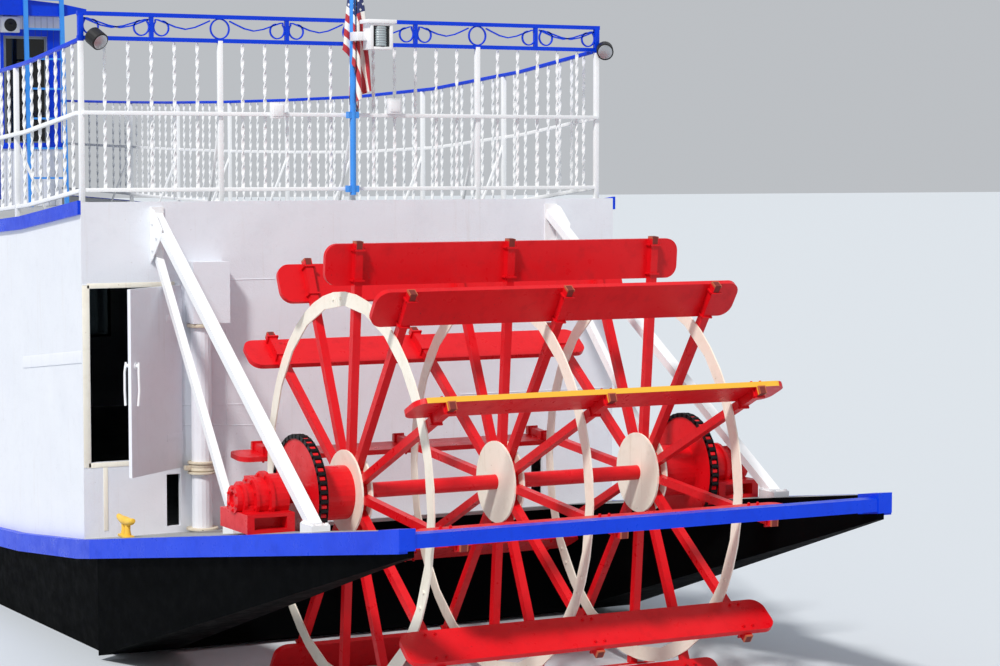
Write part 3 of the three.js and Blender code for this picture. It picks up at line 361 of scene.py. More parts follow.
def flagCloth():
    # woven nylon: thirteen stripes and a blue canton with rows of stars, drawn on the cloth's own UV map
    tree, shader = newFinish("wovenNylonFlag")
    place = addNode(tree, "ShaderNodeUVMap", uv_map="cloth").outputs["UV"]
    split = addNode(tree, "ShaderNodeSeparateXYZ", {"Vector": place})
    sums = {"out": split.outputs["X"], "up": split.outputs["Y"]}
    stripes, cantonFoot = 13.0, 6.0 / 13.0
    steps = (  # result, operation, what it works on
        ("count", "MULTIPLY", "up", stripes),
        ("stripe", "FLOOR", "count"),
        ("odd", "MODULO", "stripe", 2.0),
        ("isRed", "LESS_THAN", "odd", 0.5),
        ("byHoist", "LESS_THAN", "out", 0.4),
        ("aboveFoot", "GREATER_THAN", "up", cantonFoot),
        ("inCanton", "MULTIPLY", "byHoist", "aboveFoot"),
        ("column", "MULTIPLY", "out", 27.5),
        ("height", "SUBTRACT", "up", cantonFoot),
        ("row", "MULTIPLY", "height", 16.7),
        ("wholeColumn", "FLOOR", "column"),
        ("wholeRow", "FLOOR", "row"),
        ("both", "ADD", "wholeColumn", "wholeRow"),
        ("checker", "MODULO", "both", 2.0),
        ("columnPart", "FRACT", "column"),
        ("rowPart", "FRACT", "row"),
        ("across", "SUBTRACT", "columnPart", 0.5),
        ("along", "SUBTRACT", "rowPart", 0.5),
        ("square", "MULTIPLY", "along", "along"),
        ("squares", "MULTIPLY_ADD", "across", "across", "square"),
        ("reach", "SQRT", "squares"),
        ("turn", "ARCTAN2", "across", "along"),
        ("fiveTurns", "MULTIPLY", "turn", 5.0),
        ("wave", "COSINE", "fiveTurns"),
        ("outline", "MULTIPLY_ADD", "wave", 0.12, 0.24),
        ("inOutline", "LESS_THAN", "reach", "outline"),
        ("hasStar", "LESS_THAN", "checker", 0.5),
        ("star", "MULTIPLY", "inOutline", "hasStar"),
    )
    for name, operation, *values in steps:
        inputs = {i: sums.get(value, value) for i, value in enumerate(values)}
        sums[name] = addNode(tree, "ShaderNodeMath", inputs, operation=operation)
    colours = {}
    rows = (  # result, share, first colour, second colour
        ("striped", "isRed", hexColour("#EDEAE4"), hexColour("#B5202E")),
        ("canton", "star", hexColour("#1E2A63"), hexColour("#F2F0EC")),
        ("whole", "inCanton", "striped", "canton"),
    )
    for name, share, *pair in rows:
        first, second = [colours.get(colour, colour) for colour in pair]
        mixed = addNode(tree, "ShaderNodeMix", {"Factor": sums[share], 6: first, 7: second}, data_type="RGBA")
        colours[name] = mixed.outputs[2]
    weave = addNode(tree, "ShaderNodeTexChecker", {"Vector": place, "Scale": 420.0}).outputs["Fac"]
    setInputs(tree, shader, {
        "Base Color": colours["whole"],
        "Normal": addNode(tree, "ShaderNodeBump", {"Height": weave, "Strength": 0.15, "Distance": 0.0004}),
        "Roughness": 0.62,
        "Sheen Weight": 0.3,
    })


topGrey()
wheelRed()
boardedPaint("boardedEnamelWhite", "satinEnamelWhite", "X")
boardedPaint("boardedEnamelWhiteSide", "satinEnamelWhite", "Y")
boardedPaint("boardedEnamelBlue", "glossEnamelBlue", "X")
shadeDarkGlass()
varnishedOak()
flagCloth()
print("finishes are mixed")

# CAD nodes that carry each finish
finishNodes = {
    "bitumenBlack": "hull port_rudder starboard_rudder",
    "bitumenBlackWithDeckTop": "port_arm starboard_arm",
    "nonSlipDeckGrey": "main_deck upper_deck",
    "glossEnamelBlue": "guard stern_beam fascia stern_truss pilothouse_roof"
                       " port_front_door starboard_front_door pilothouse_door",
    "glossEnamelLightBlue": "pilothouse_ladder flagstaff",
    "satinEnamelWhite": "port_wall starboard_wall transom_wall front_wall transom_door exhaust",
    "satinEnamelRail": "stern_rail port_rail starboard_rail front_rail port_bow_rail starboard_bow_rail"
                       " stern_light port_struts starboard_struts",
    "boardedEnamelWhite": "pilothouse_front pilothouse_aft",
    "boardedEnamelWhiteSide": "pilothouse_port pilothouse_starboard",
    "varnishedOak": "helm",
    "heatproofBlack": "port_stack starboard_stack",
    "wheelEnamelRed": "wheel_shaft middle_spokes_and_boards port_spokes starboard_spokes"
                      " port_sprocket starboard_sprocket",
    "glossEnamelCream": "middle_hub port_hub starboard_hub middle_ring port_ring starboard_ring",
    "glossEnamelRed": "port_drive starboard_drive",
    "enamelMachineGrey": "engine",
    "glossEnamelYellow": "port_cleat",
    "wovenNylonFlag": "flag",
    "mouldedBlack": "port_floodlight starboard_floodlight",
}
for finish, names in finishNodes.items():
    for nodeName in names.split():
        mesh = nodes[nodeName].data
        mesh.materials.clear()
        mesh.materials.append(finishes[finish])
print("CAD nodes are painted")

# Main lines of the boat
boat = {
    "bow": -12.9, "transom": 5.7, "freeboard": 0.67, "aftRise": 0.33, "foreRise": 0.28,
    "armSlope": 0.1377, "deckHeight": 2.92, "wallOuter": 2.647, "houseFront": -7.8,
    "stations": (-12.9, -11.2, -9.8, -8.3, -6.2, -4.2, -2.1, 0.0, 2.0, 4.0, 5.7, 10.87),
    "plan": ((-12.9, 0.45), (-12.3, 1.12), (-11.2, 1.82), (-9.8, 2.39), (-8.3, 2.65), (5.7, 2.65)),
}


def trueSheer(y):
    if y > boat["transom"]:
        return boat["freeboard"] + boat["aftRise"] + boat["armSlope"] * (y - boat["transom"])
    if y > 0:
        return boat["freeboard"] + boat["aftRise"] * (y / boat["transom"]) ** 2
    return boat["freeboard"] + boat["foreRise"] * (y / boat["bow"]) ** 2


def mainZ(y):
    # height of the main deck, straight from station to station
    stations = boat["stations"]
    for y0, y1 in zip(stations, stations[1:]):
        if y <= y1 or y1 == stations[-1]:
            return trueSheer(y0) + (trueSheer(y1) - trueSheer(y0)) * (y - y0) / (y1 - y0)


def upperZ(y):
    return mainZ(y) + boat["deckHeight"]


def halfWidth(y):
    for (y0, w0), (y1, w1) in zip(boat["plan"], boat["plan"][1:]):
        if y <= y1:
            return w0 + (w1 - w0) * (y - y0) / (y1 - y0)
    return boat["plan"][-1][1]


def between(y0, y1):
    return [y0] + [y for y in boat["stations"] if y0 < y < y1] + [y1]


def turns(count, start=0.0):
    # even angles round a circle
    return [2 * math.pi * (i + start) / count for i in range(count)]


def roundWheel(x, radius, a):
    # place at that angle round the wheel's axis
    return (x, wheel["y"] + radius * math.cos(a), wheel["z"] + radius * math.sin(a))


# Mesh helpers: each adds a closed form to a bmesh
def addBox(bm, x0, x1, y0, y1, z0, z1):
    corners = [(x, y, z) for x in sorted((x0, x1)) for y in sorted((y0, y1)) for z in sorted((z0, z1))]
    v = [bm.verts.new(c) for c in corners]
    for face in ((0, 1, 3, 2), (4, 6, 7, 5), (0, 4, 5, 1), (2, 3, 7, 6), (0, 2, 6, 4), (1, 5, 7, 3)):
        bm.faces.new([v[i] for i in face])


def addSweep(bm, rings):
    # rings of points with the same count, closed round and capped at both ends
    rows = [[bm.verts.new(p) for p in ring] for ring in rings]
    count = len(rows[0])
    for lower, upper in zip(rows, rows[1:]):
        for k in range(count):
            bm.faces.new((lower[k], lower[(k + 1) % count], upper[(k + 1) % count], upper[k]))
    bm.faces.new(list(reversed(rows[0])))
    bm.faces.new(rows[-1])


def circle(centre, across, other, radius, sides):
    return [centre + (across * math.cos(a) + other * math.sin(a)) * radius for a in turns(sides)]


def addTurned(bm, start, end, profile, sides=24):
    # profile rows are (share of the way from start to end, radius)
    start, end = Vector(start), Vector(end)
    axis = (end - start).normalized()
    across = axis.orthogonal().normalized()
    other = axis.cross(across)
    addSweep(bm, [circle(start.lerp(end, share), across, other, radius, sides) for share, radius in profile])


def addRod(bm, start, end, radius, sides=16):
    addTurned(bm, start, end, [(0, radius), (1, radius)], sides)


def addTube(bm, path, radius, sides=10):
    rings = []
    across = None
    for i, place in enumerate(path):
        ahead = (path[min(i + 1, len(path) - 1)] - path[max(i - 1, 0)]).normalized()
        across = across - ahead * across.dot(ahead) if across else ahead.orthogonal()
        across = across.normalized()
        rings.append(circle(place, across, ahead.cross(across), radius, sides))
    addSweep(bm, rings)


# Finished pieces: smoothed and given to their body
def smoothFaces(mesh, sharp):
    for polygon in mesh.polygons:
        polygon.use_smooth = True
    mesh.set_sharp_from_angle(angle=math.radians(sharp))


def handOver(piece, body, replaces=None):
    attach(piece, body)
    if replaces:
        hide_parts(replaces)


def finishPiece(name, bm, finish, body="boat", bevel=0.0, segments=2, smooth=True, replaces=None):
    bmesh.ops.recalc_face_normals(bm, faces=bm.faces)
    mesh = bpy.data.meshes.new(name)
    bm.to_mesh(mesh)
    bm.free()
    piece = addObject(name, mesh)
    mesh.materials.append(finishes[finish])
    if bevel:
        rounding = piece.modifiers.new("rounding", "BEVEL")
        rounding.width = bevel
        rounding.segments = segments
        rounding.limit_method = "ANGLE"
        rounding.angle_limit = math.radians(35)
        evaluated = piece.evaluated_get(bpy.context.evaluated_depsgraph_get())
        rounded = bpy.data.meshes.new_from_object(evaluated)
        piece.modifiers.clear()
        piece.data = rounded
    if smooth:
        smoothFaces(piece.data, 32)
    handOver(piece, body, replaces)


# Geometry Nodes: a tree is built once, fed with points, and turned into a plain mesh
def newTree(name, sockets):
    tree = bpy.data.node_groups.new(name, "GeometryNodeTree")
    tree.interface.new_socket("Points", in_out="INPUT", socket_type="NodeSocketGeometry")
    for socketName, value in sockets.items():
        socket = tree.interface.new_socket(socketName, in_out="INPUT", socket_type="NodeSocketFloat")
        socket.default_value = value
    tree.interface.new_socket("Geometry", in_out="OUTPUT", socket_type="NodeSocketGeometry")
    return tree, addNode(tree, "NodeGroupInput")


def standUp(tree, shape, height):
    # lifts a shape by half its height, so that it stands on its point
    half = addNode(tree, "ShaderNodeMath", {0: height, 1: 0.5}, operation="MULTIPLY")
    lift = addNode(tree, "ShaderNodeCombineXYZ", {"Z": half})
    return addNode(tree, "GeometryNodeTransform", {"Geometry": shape, "Translation": lift})


def squareToFacing(tree):
    # turns Z along the point's facing and keeps X along the boat's
    facing = addNode(tree, "GeometryNodeInputNamedAttribute", {"Name": "facing"}, data_type="FLOAT_VECTOR")
    axes = {"Primary Axis": facing, "Secondary Axis": (1.0, 0.0, 0.0)}
    return addNode(tree, "FunctionNodeAxesToRotation", axes, primary_axis="Z", secondary_axis="X")


def endTree(tree, entry, parts, finish, turned=None):
    # the parts on every point, made real and painted
    joined = addNode(tree, "GeometryNodeJoinGeometry", {"Geometry": parts})
    inputs = {"Points": entry.outputs["Points"], "Instance": joined}
    if turned:
        inputs["Rotation"] = turned
    placed = addNode(tree, "GeometryNodeInstanceOnPoints", inputs)
    realized = addNode(tree, "GeometryNodeRealizeInstances", {"Geometry": placed})
    painted = addNode(tree, "GeometryNodeSetMaterial", {"Geometry": realized, "Material": finishes[finish]})
    addNode(tree, "NodeGroupOutput", {"Geometry": painted})
    return tree


def growTree(name, tree, points, facings=None, body="boat", sizes=None):
    mesh = bpy.data.meshes.new(name + "Points")
    mesh.from_pydata([tuple(p) for p in points], [], [])
    if facings:
        facing = mesh.attributes.new("facing", "FLOAT_VECTOR", "POINT")
        facing.data.foreach_set("vector", [c for f in facings for c in f])
    holder = addObject(name + "Points", mesh)
    modifier = holder.modifiers.new("nodes", "NODES")
    modifier.node_group = tree
    for item in tree.interface.items_tree:
        if item.item_type == "SOCKET" and item.in_out == "INPUT" and item.name in (sizes or {}):
            modifier[item.identifier] = sizes[item.name]
    evaluated = holder.evaluated_get(bpy.context.evaluated_depsgraph_get())
    grown = bpy.data.meshes.new_from_object(evaluated)
    piece = addObject(name, grown)
    holder.modifiers.clear()
    bpy.data.objects.remove(holder)
    smoothFaces(grown, 40)
    handOver(piece, body)


def boltTree(finish):
    # hex head on a round washer, standing along the point's facing
    tree, entry = newTree("bolts" + finish, {"Across": 0.03, "Height": 0.014})
    across, height = entry.outputs["Across"], entry.outputs["Height"]
    head = addNode(tree, "GeometryNodeMeshCylinder", {"Vertices": 6, "Radius": across, "Depth": height})
    wide = addNode(tree, "ShaderNodeMath", {0: across, 1: 1.55}, operation="MULTIPLY")
    washer = addNode(tree, "GeometryNodeMeshCylinder", {"Vertices": 14, "Radius": wide, "Depth": 0.006})
    facing = addNode(tree, "GeometryNodeInputNamedAttribute", {"Name": "facing"}, data_type="FLOAT_VECTOR")
    turned = addNode(tree, "FunctionNodeAlignRotationToVector", {"Vector": facing}, axis="Z")
    return endTree(tree, entry, [standUp(tree, head, height), washer], finish, turned)


def picketTree():
    # flat bar twisted along its height, standing on each point
    sockets = {"Height": 1.3, "Width": 0.026, "Thickness": 0.009, "TurnPitch": 0.26}
    tree, entry = newTree("twistedPickets", sockets)
    height = entry.outputs["Height"]
    bar = {"X": entry.outputs["Width"], "Y": entry.outputs["Thickness"], "Z": height}
    size = addNode(tree, "ShaderNodeCombineXYZ", bar)
    grid = {"Size": size, "Vertices X": 2, "Vertices Y": 2, "Vertices Z": 56}
    blank = addNode(tree, "GeometryNodeMeshCube", grid)
    place = addNode(tree, "GeometryNodeInputPosition")
    split = addNode(tree, "ShaderNodeSeparateXYZ", {"Vector": place})
    pitch = {0: split.outputs["Z"], 1: entry.outputs["TurnPitch"]}
    share = addNode(tree, "ShaderNodeMath", pitch, operation="DIVIDE")
    angle = addNode(tree, "ShaderNodeMath", {0: share, 1: 2 * math.pi}, operation="MULTIPLY")
    turned = addNode(tree, "ShaderNodeVectorRotate", {"Vector": place, "Angle": angle}, rotation_type="Z_AXIS")
    twisted = addNode(tree, "GeometryNodeSetPosition", {"Geometry": blank, "Position": turned})
    return endTree(tree, entry, [standUp(tree, twisted, height)], "satinEnamelRail")


# Rails of the upper deck: square-tube frames filled with twisted flat bar
rail = {
    "x": 2.57, "y": 5.51, "bottom": 0.115, "mid": 0.785, "midOut": 0.0263, "sideTop": 1.42, "sternTop": 1.43,
    "cornerLow": 1.4, "cornerHigh": 1.64, "cornerHalf": 0.0235, "post": 0.045, "tube": 0.036, "pitch": 2.57 / 12,
    "deckEdge": 2.62, "inset": 0.083, "sideStart": -9.98, "sidePitch": 0.236, "postPitch": 8 * 0.236,
    "braceSide": 0.026, "braceReach": 0.3, "braceHead": 0.06, "footPlate": 0.1, "footThick": 0.008,
    "picketWide": 0.031, "picketThick": 0.011, "turnPitch": 0.24,  # a half turn every 120 mm
}
pickets = picketTree()


def addPickets(name, places, top):
    sizes = {"Height": top - rail["bottom"], "TurnPitch": rail["turnPitch"]}
    sizes.update(Width=rail["picketWide"], Thickness=rail["picketThick"])
    growTree(name + "Pickets", pickets, places, sizes=sizes)


def railLineX(y):
    return min(rail["x"], halfWidth(y) - rail["inset"])


def footOf(y, half):
    return max(upperZ(y - half), upperZ(y + half))


def addPost(bm, x, y, top):
    half, plate = rail["post"] / 2, rail["footPlate"] / 2
    addBox(bm, x - half, x + half, y - half, y + half, footOf(y, half), upperZ(y) + top)
    outer = min(plate, rail["deckEdge"] - abs(x))
    out, into = (x + outer, x - plate) if x > 0 else (x - outer, x + plate)
    addBox(bm, into, out, y - plate, y + half, upperZ(y) - 0.002, footOf(y, plate) + rail["footThick"])


def addBrace(bm, x, y, dx, dy):
    half = rail["braceSide"] / 2
    start = Vector((x, y, upperZ(y) + rail["mid"] - rail["braceHead"]))
    end = Vector((x + dx, y + dy, upperZ(y + dy) + 0.01))
    one, two = Vector((0, half, 0)), Vector((half, 0, 0))
    across, thick = (one, two) if dx else (two, one)
    addSweep(bm, [[p + across + thick, p - across + thick, p - across - thick, p + across - thick]
                  for p in (start, end)])


def endRail(name, y, posts, firstPicket, top, out, braced, topBar):
    bm = bmesh.new()
    deck = upperZ(y)
    half = rail["tube"] / 2
    reach = max(posts)
    heights = [(rail["bottom"], 0.0), (rail["mid"], rail["midOut"] * out)] + ([(top, 0.0)] if topBar else [])
    for height, offset in heights:
        z = deck + height
        addBox(bm, -reach, reach, y + offset - half, y + offset + half, z - half, z + half)
    for x in posts:
        addPost(bm, x, y, top)
        if braced and abs(x) < reach:
            addBrace(bm, x, y, 0, -out * rail["braceReach"])
    finishPiece(name + "Frame", bm, "satinEnamelRail", bevel=0.004, replaces=name)
    places = []
    x = firstPicket
    while x < reach - 2 * rail["post"]:
        if all(abs(abs(px) - x) > rail["post"] for px in posts):
            places += [(x, y, deck + rail["bottom"]), (-x, y, deck + rail["bottom"])]
        x += rail["pitch"]
    addPickets(name, places, top)


def sidePlaces(pitch):
    places = []
    y = rail["y"] - pitch
    while y > rail["sideStart"] + pitch / 3:
        places.append(y)
        y -= pitch
    return places


def railBar(bm, side, height, offset):
    half = rail["tube"] / 2
    section = ((-half, -half), (half, -half), (half, half), (-half, half))
    rings = []
    for y in between(rail["sideStart"], rail["y"] - rail["post"] / 2):
        x, z = side * (railLineX(y) + offset), upperZ(y) + height
        rings.append([(x + dx, y, z + dz) for dx, dz in section])
    addSweep(bm, rings)


def sideRail(name, side):
    bm = bmesh.new()
    railBar(bm, side, rail["bottom"], 0.0)
    railBar(bm, side, rail["mid"], rail["midOut"])
    posts = sidePlaces(rail["postPitch"]) + [rail["sideStart"]]
    for y in posts:
        addPost(bm, side * railLineX(y), y, rail["sideTop"] - rail["tube"] / 2)
        if y > boat["houseFront"]:
            addBrace(bm, side * railLineX(y), y, -side * rail["braceReach"], 0)
    finishPiece(name + "Frame", bm, "satinEnamelRail", bevel=0.004, replaces=name)
    bm = bmesh.new()
    railBar(bm, side, rail["sideTop"], 0.0)
    finishPiece(name + "TopBar", bm, "glossEnamelBlue", bevel=0.005)
    places = [(side * railLineX(y), y, upperZ(y) + rail["bottom"]) for y in sidePlaces(rail["sidePitch"])
              if all(abs(post - y) > rail["post"] for post in posts)]
    addPickets(name, places, rail["sideTop"])


deckZ = upperZ(rail["y"])
sternPosts = [-rail["x"], -rail["x"] / 2, 0.0, rail["x"] / 2, rail["x"]]
endRail("stern_rail", rail["y"], sternPosts, rail["pitch"], rail["sternTop"], 1, True, False)
frontX = railLineX(rail["sideStart"])
frontY = rail["sideStart"] - rail["post"] - 0.0003
frontPosts = [-frontX, -frontX / 3, frontX / 3, frontX]
endRail("front_rail", frontY, frontPosts, rail["pitch"] / 2, rail["sideTop"], -1, False, True)
sideRail("port_rail", 1)
sideRail("starboard_rail", -1)
bm = bmesh.new()
half = rail["cornerHalf"]
for x in (rail["x"], -rail["x"]):
    low, high = deckZ + rail["cornerLow"], deckZ + rail["cornerHigh"]
    addBox(bm, x - half, x + half, rail["y"] - half, rail["y"] + half, low, high)
finishPiece("sternRailCornerTops", bm, "glossEnamelBlue", bevel=0.004)
print("rails are built")

# Roller chain round both sprockets: plate pairs and rollers by turns
chain = {
    "links": 40, "radius": 0.462, "plateLong": 0.098, "plateTall": 0.034, "plateThick": 0.005,
    "spread": 0.062, "roller": 0.019, "rollerPlace": 0.36,  # share of the plate's length
}


def chainTree():
    sockets = {"PlateLong": chain["plateLong"], "PlateTall": chain["plateTall"], "Spread": chain["spread"]}
    tree, entry = newTree("rollerChain", sockets)
    spread = entry.outputs["Spread"]
    sides = {"X": chain["plateThick"], "Y": entry.outputs["PlateTall"], "Z": entry.outputs["PlateLong"]}
    size = addNode(tree, "ShaderNodeCombineXYZ", sides)
    plate = addNode(tree, "GeometryNodeMeshCube", {"Size": size})
    parts = []
    for side in (0.5, -0.5):
        away = addNode(tree, "ShaderNodeMath", {0: spread, 1: side}, operation="MULTIPLY")
        shift = addNode(tree, "ShaderNodeCombineXYZ", {"X": away})
        parts.append(addNode(tree, "GeometryNodeTransform", {"Geometry": plate, "Translation": shift}))
    pin = {"Vertices": 10, "Radius": chain["roller"], "Depth": spread}
    roller = addNode(tree, "GeometryNodeMeshCylinder", pin)
    lying = {"Rotation": (0.0, math.pi / 2, 0.0)}
    lying["Translation"] = (0.0, 0.0, chain["plateLong"] * chain["rollerPlace"])
    parts.append(addNode(tree, "GeometryNodeTransform", {"Geometry": roller, **lying}))
    return endTree(tree, entry, parts, "greasedChainSteel", squareToFacing(tree))


places, facings = [], []
for side in (1, -1):
    for a in turns(chain["links"], 0.5):
        places.append(roundWheel(side * wheel["sprocketX"], chain["radius"], a))
        facings.append((0.0, -math.sin(a), math.cos(a)))
growTree("driveChains", chainTree(), places, facings, body="wheel")
print("chains are laid")

# Limp flag on the stern staff: striped cloth pinned at its hoist and left to fall from folds
flag = {
    "fly": 1.2, "hoist": 0.75, "columns": 60, "rows": 38, "fold": 0.1, "spread": 0.2, "deep": 0.98,
    "staffX": 0.03, "staffY": 5.5946, "staffRadius": 0.028, "gap": 0.004, "forward": 0.02, "top": 6.12,
    "frames": 100, "mass": 0.25, "quality": 6, "airDamping": 4.0, "tension": 12.0, "bending": 0.3,
    "selfDistance": 0.006,
}


def hangFlag():
    columns, rows = flag["columns"], flag["rows"]
    places, faces = [], []
    edge = flag["staffX"] - flag["staffRadius"] - flag["gap"]
    for j in range(rows + 1):
        for i in range(columns + 1):
            out = flag["fly"] * i / columns
            turn = (out / flag["fold"]) % 2.0
            deep = flag["fold"] * flag["deep"] * min(turn, 2.0 - turn)
            down = flag["hoist"] * j / rows
            x, y = edge - flag["spread"] * out, flag["staffY"] - flag["forward"] + deep
            places.append((x, y, flag["top"] - down))
    for j in range(rows):
        for i in range(columns):
            a = j * (columns + 1) + i
            faces.append((a, a + columns + 1, a + columns + 2, a + 1))
    mesh = bpy.data.meshes.new("limpFlag")
    mesh.from_pydata(places, [], faces)
    uv = mesh.uv_layers.new(name="cloth")
    for loop in mesh.loops:
        j, i = divmod(loop.vertex_index, columns + 1)
        uv.data[loop.index].uv = (i / columns, 1.0 - j / rows)
    piece = addObject("limpFlag", mesh)
    pinned = piece.vertex_groups.new(name="hoist")
    pinned.add([j * (columns + 1) for j in range(rows + 1)], 1.0, "REPLACE")
    cloth = piece.modifiers.new("fall", "CLOTH")
    cloth.settings.vertex_group_mass = "hoist"
    cloth.settings.quality = flag["quality"]
    cloth.settings.mass = flag["mass"]
    cloth.settings.air_damping = flag["airDamping"]
    cloth.settings.tension_stiffness = flag["tension"]
    cloth.settings.bending_stiffness = flag["bending"]
    cloth.collision_settings.use_self_collision = True
    cloth.collision_settings.self_distance_min = flag["selfDistance"]
    cloth.point_cache.frame_start = 1
    cloth.point_cache.frame_end = flag["frames"]
    for frameNumber in range(1, flag["frames"] + 1):
        bpy.context.scene.frame_set(frameNumber)
    evaluated = piece.evaluated_get(bpy.context.evaluated_depsgraph_get())
    fallen = bpy.data.meshes.new_from_object(evaluated)
    piece.modifiers.clear()
    piece.data = fallen
    bpy.context.scene.frame_set(1)
    fallen.materials.clear()
    fallen.materials.append(finishes["wovenNylonFlag"])
    for polygon in fallen.polygons:
        polygon.use_smooth = True
    handOver(piece, "boat", replaces="flag")


hangFlag()
print("flag hangs")

# Tinted panes, darkened as painted shade for the inside of the house, each in a gasket or frame
panes = {"thick": 0.006, "inset": 0.01, "frame": 0.035, "depth": 0.02, "wallMiddle": 0.025}
sideWindows = {"count": 7, "aft": 1.9, "pitch": 1.33, "wide": 0.95, "sill": 1.0, "tall": 0.8}


def addAcross(bm, axis, at, half, a0, a1, b0, b1):
    # box of that half thickness across the axis, from a0 to a1 along the wall
    if axis == "X":
        addBox(bm, at - half, at + half, a0, a1, b0, b1)
    else:
        addBox(bm, a0, a1, at - half, at + half, b0, b1)


def glaze(paneName, surrounds, openings):
    # openings: kind of surround, axis across the glass, place on it, from and to along the wall, sill, head
    glass = bmesh.new()
    edges = {kind: bmesh.new() for kind in surrounds}
    inset, wide = panes["inset"], panes["frame"]
    for kind, axis, at, a0, a1, b0, b1 in openings:
        addAcross(glass, axis, at, panes["thick"] / 2, a0 + inset, a1 - inset, b0 + inset, b1 - inset)
        for strip in ((a0, a0 + wide, b0, b1), (a1 - wide, a1, b0, b1),
                      (a0 + wide, a1 - wide, b0, b0 + wide), (a0 + wide, a1 - wide, b1 - wide, b1)):
            addAcross(edges[kind], axis, at, panes["depth"], *strip)
    finishPiece(paneName, glass, "glassDarkenedAsShade", smooth=False)
    for kind, (name, finish) in surrounds.items():
        finishPiece(name, edges[kind], finish, bevel=0.003)


openings = []
for side in (1, -1):
    for i in range(sideWindows["count"]):
        y1 = sideWindows["aft"] - i * sideWindows["pitch"]
        sill = mainZ(y1) + sideWindows["sill"]
        at = side * (boat["wallOuter"] - panes["wallMiddle"])
        openings.append(("house", "X", at, y1 - sideWindows["wide"], y1, sill, sill + sideWindows["tall"]))
glaze("windowPanes", {"house": ("windowGaskets", "nitrileRubber")}, openings)
print("windows are glazed")

# Stern truss over the rail: two tubes, uprights, rings, and flat bar rolled into scrolls
truss = {
    "low": 1.43, "high": 1.64, "over": 0.03, "upright": 0.018,
    "uprights": (-2.57, -1.905, -0.6425, 0.6425, 1.925, 2.57), "ringAt": (-1.285, 0.0, 1.285), "ring": 0.093,
    "bar": 0.012, "barWide": 0.02, "curl": 0.073, "gap": 0.022, "curlSteps": 14,
    "scrolls": (  # upright, far end
        (1.925, 1.378), (0.6425, 1.192), (0.6425, 0.093), (1.925, 2.55), (2.57, 1.945)),
}
trussMiddle = deckZ + (truss["low"] + truss["high"]) / 2


def addRibbon(bm, path):
    rings = []
    y0, y1 = rail["y"] - truss["barWide"] / 2, rail["y"] + truss["barWide"] / 2
    for i, (x, z) in enumerate(path):
        (xa, za), (xb, zb) = path[max(i - 1, 0)], path[min(i + 1, len(path) - 1)]
        long = math.hypot(xb - xa, zb - za)
        nx, nz = -(zb - za) / long * truss["bar"] / 2, (xb - xa) / long * truss["bar"] / 2
        rings.append([(x + nx, y0, z + nz), (x + nx, y1, z + nz), (x - nx, y1, z - nz), (x - nx, y0, z - nz)])
    addSweep(bm, rings)


def curveThrough(p0, p1, p2, p3, t):
    # from p1 to p2 without a corner at either
    return tuple(
        0.5 * (2 * b + (c - a) * t + (2 * a - 5 * b + 4 * c - d) * t * t + (3 * b - a - 3 * c + d) * t ** 3)
        for a, b, c, d in zip(p0, p1, p2, p3))


def smoothPath(points, steps):
    path = []
    last = len(points) - 1
    for i in range(last):
        near = (points[max(i - 1, 0)], points[i], points[i + 1], points[min(i + 2, last)])
        path += [curveThrough(*near, s / steps) for s in range(steps)]
    return path + [points[-1]]


def scrollPoints(side, x0, x1):
    way = 1 if x1 > x0 else -1
    cx = x0 + way * (truss["curl"] + truss["gap"])
    points = []
    for k in range(truss["curlSteps"] + 1):
        angle = math.pi * (1.45 - 1.8 * k / truss["curlSteps"])
        r = truss["curl"] * (0.78 + 0.22 * min(1.0, 2 * k / truss["curlSteps"]))
        points.append((side * (cx - way * r * math.cos(angle)), trussMiddle - r * math.sin(angle)))
    points.append((side * (x0 + (x1 - x0) * 0.58), trussMiddle - truss["curl"] * 0.15))
    points.append((side * x1, trussMiddle + truss["curl"] * 0.95))
    return points


bm = bmesh.new()
half = rail["tube"] / 2
reach = rail["x"] + truss["over"]
for z in (deckZ + truss["low"], deckZ + truss["high"]):
    addBox(bm, -reach, reach, rail["y"] - half, rail["y"] + half, z - half, z + half)
half -= 0.002
for x in truss["uprights"]:
    x0, x1 = x - truss["upright"], x + truss["upright"]
    addBox(bm, x0, x1, rail["y"] - half, rail["y"] + half, deckZ + truss["low"], deckZ + truss["high"])
middle = truss["ring"] - truss["bar"] / 2
for x in truss["ringAt"]:
    ring = [(x + middle * math.cos(a), trussMiddle + middle * math.sin(a)) for a in turns(40) + [2 * math.pi]]
    addRibbon(bm, ring[:21])
    addRibbon(bm, ring[20:])
for side in (1, -1):
    for x0, x1 in truss["scrolls"]:
        addRibbon(bm, smoothPath(scrollPoints(side, x0, x1), 3))
finishPiece("sternTrussWork", bm, "glossEnamelBlue", replaces="stern_truss")
print("truss is rolled")

# Wheel hardware: U-bolts that clamp each board to each spoke
clamp = {
    "bar": 0.014, "spread": 0.041, "back": 0.0398, "boardFace": -0.0749, "nut": 0.022, "nutTall": 0.012,
    "tail": 0.008, "inset": (0.045, 0.285),
}


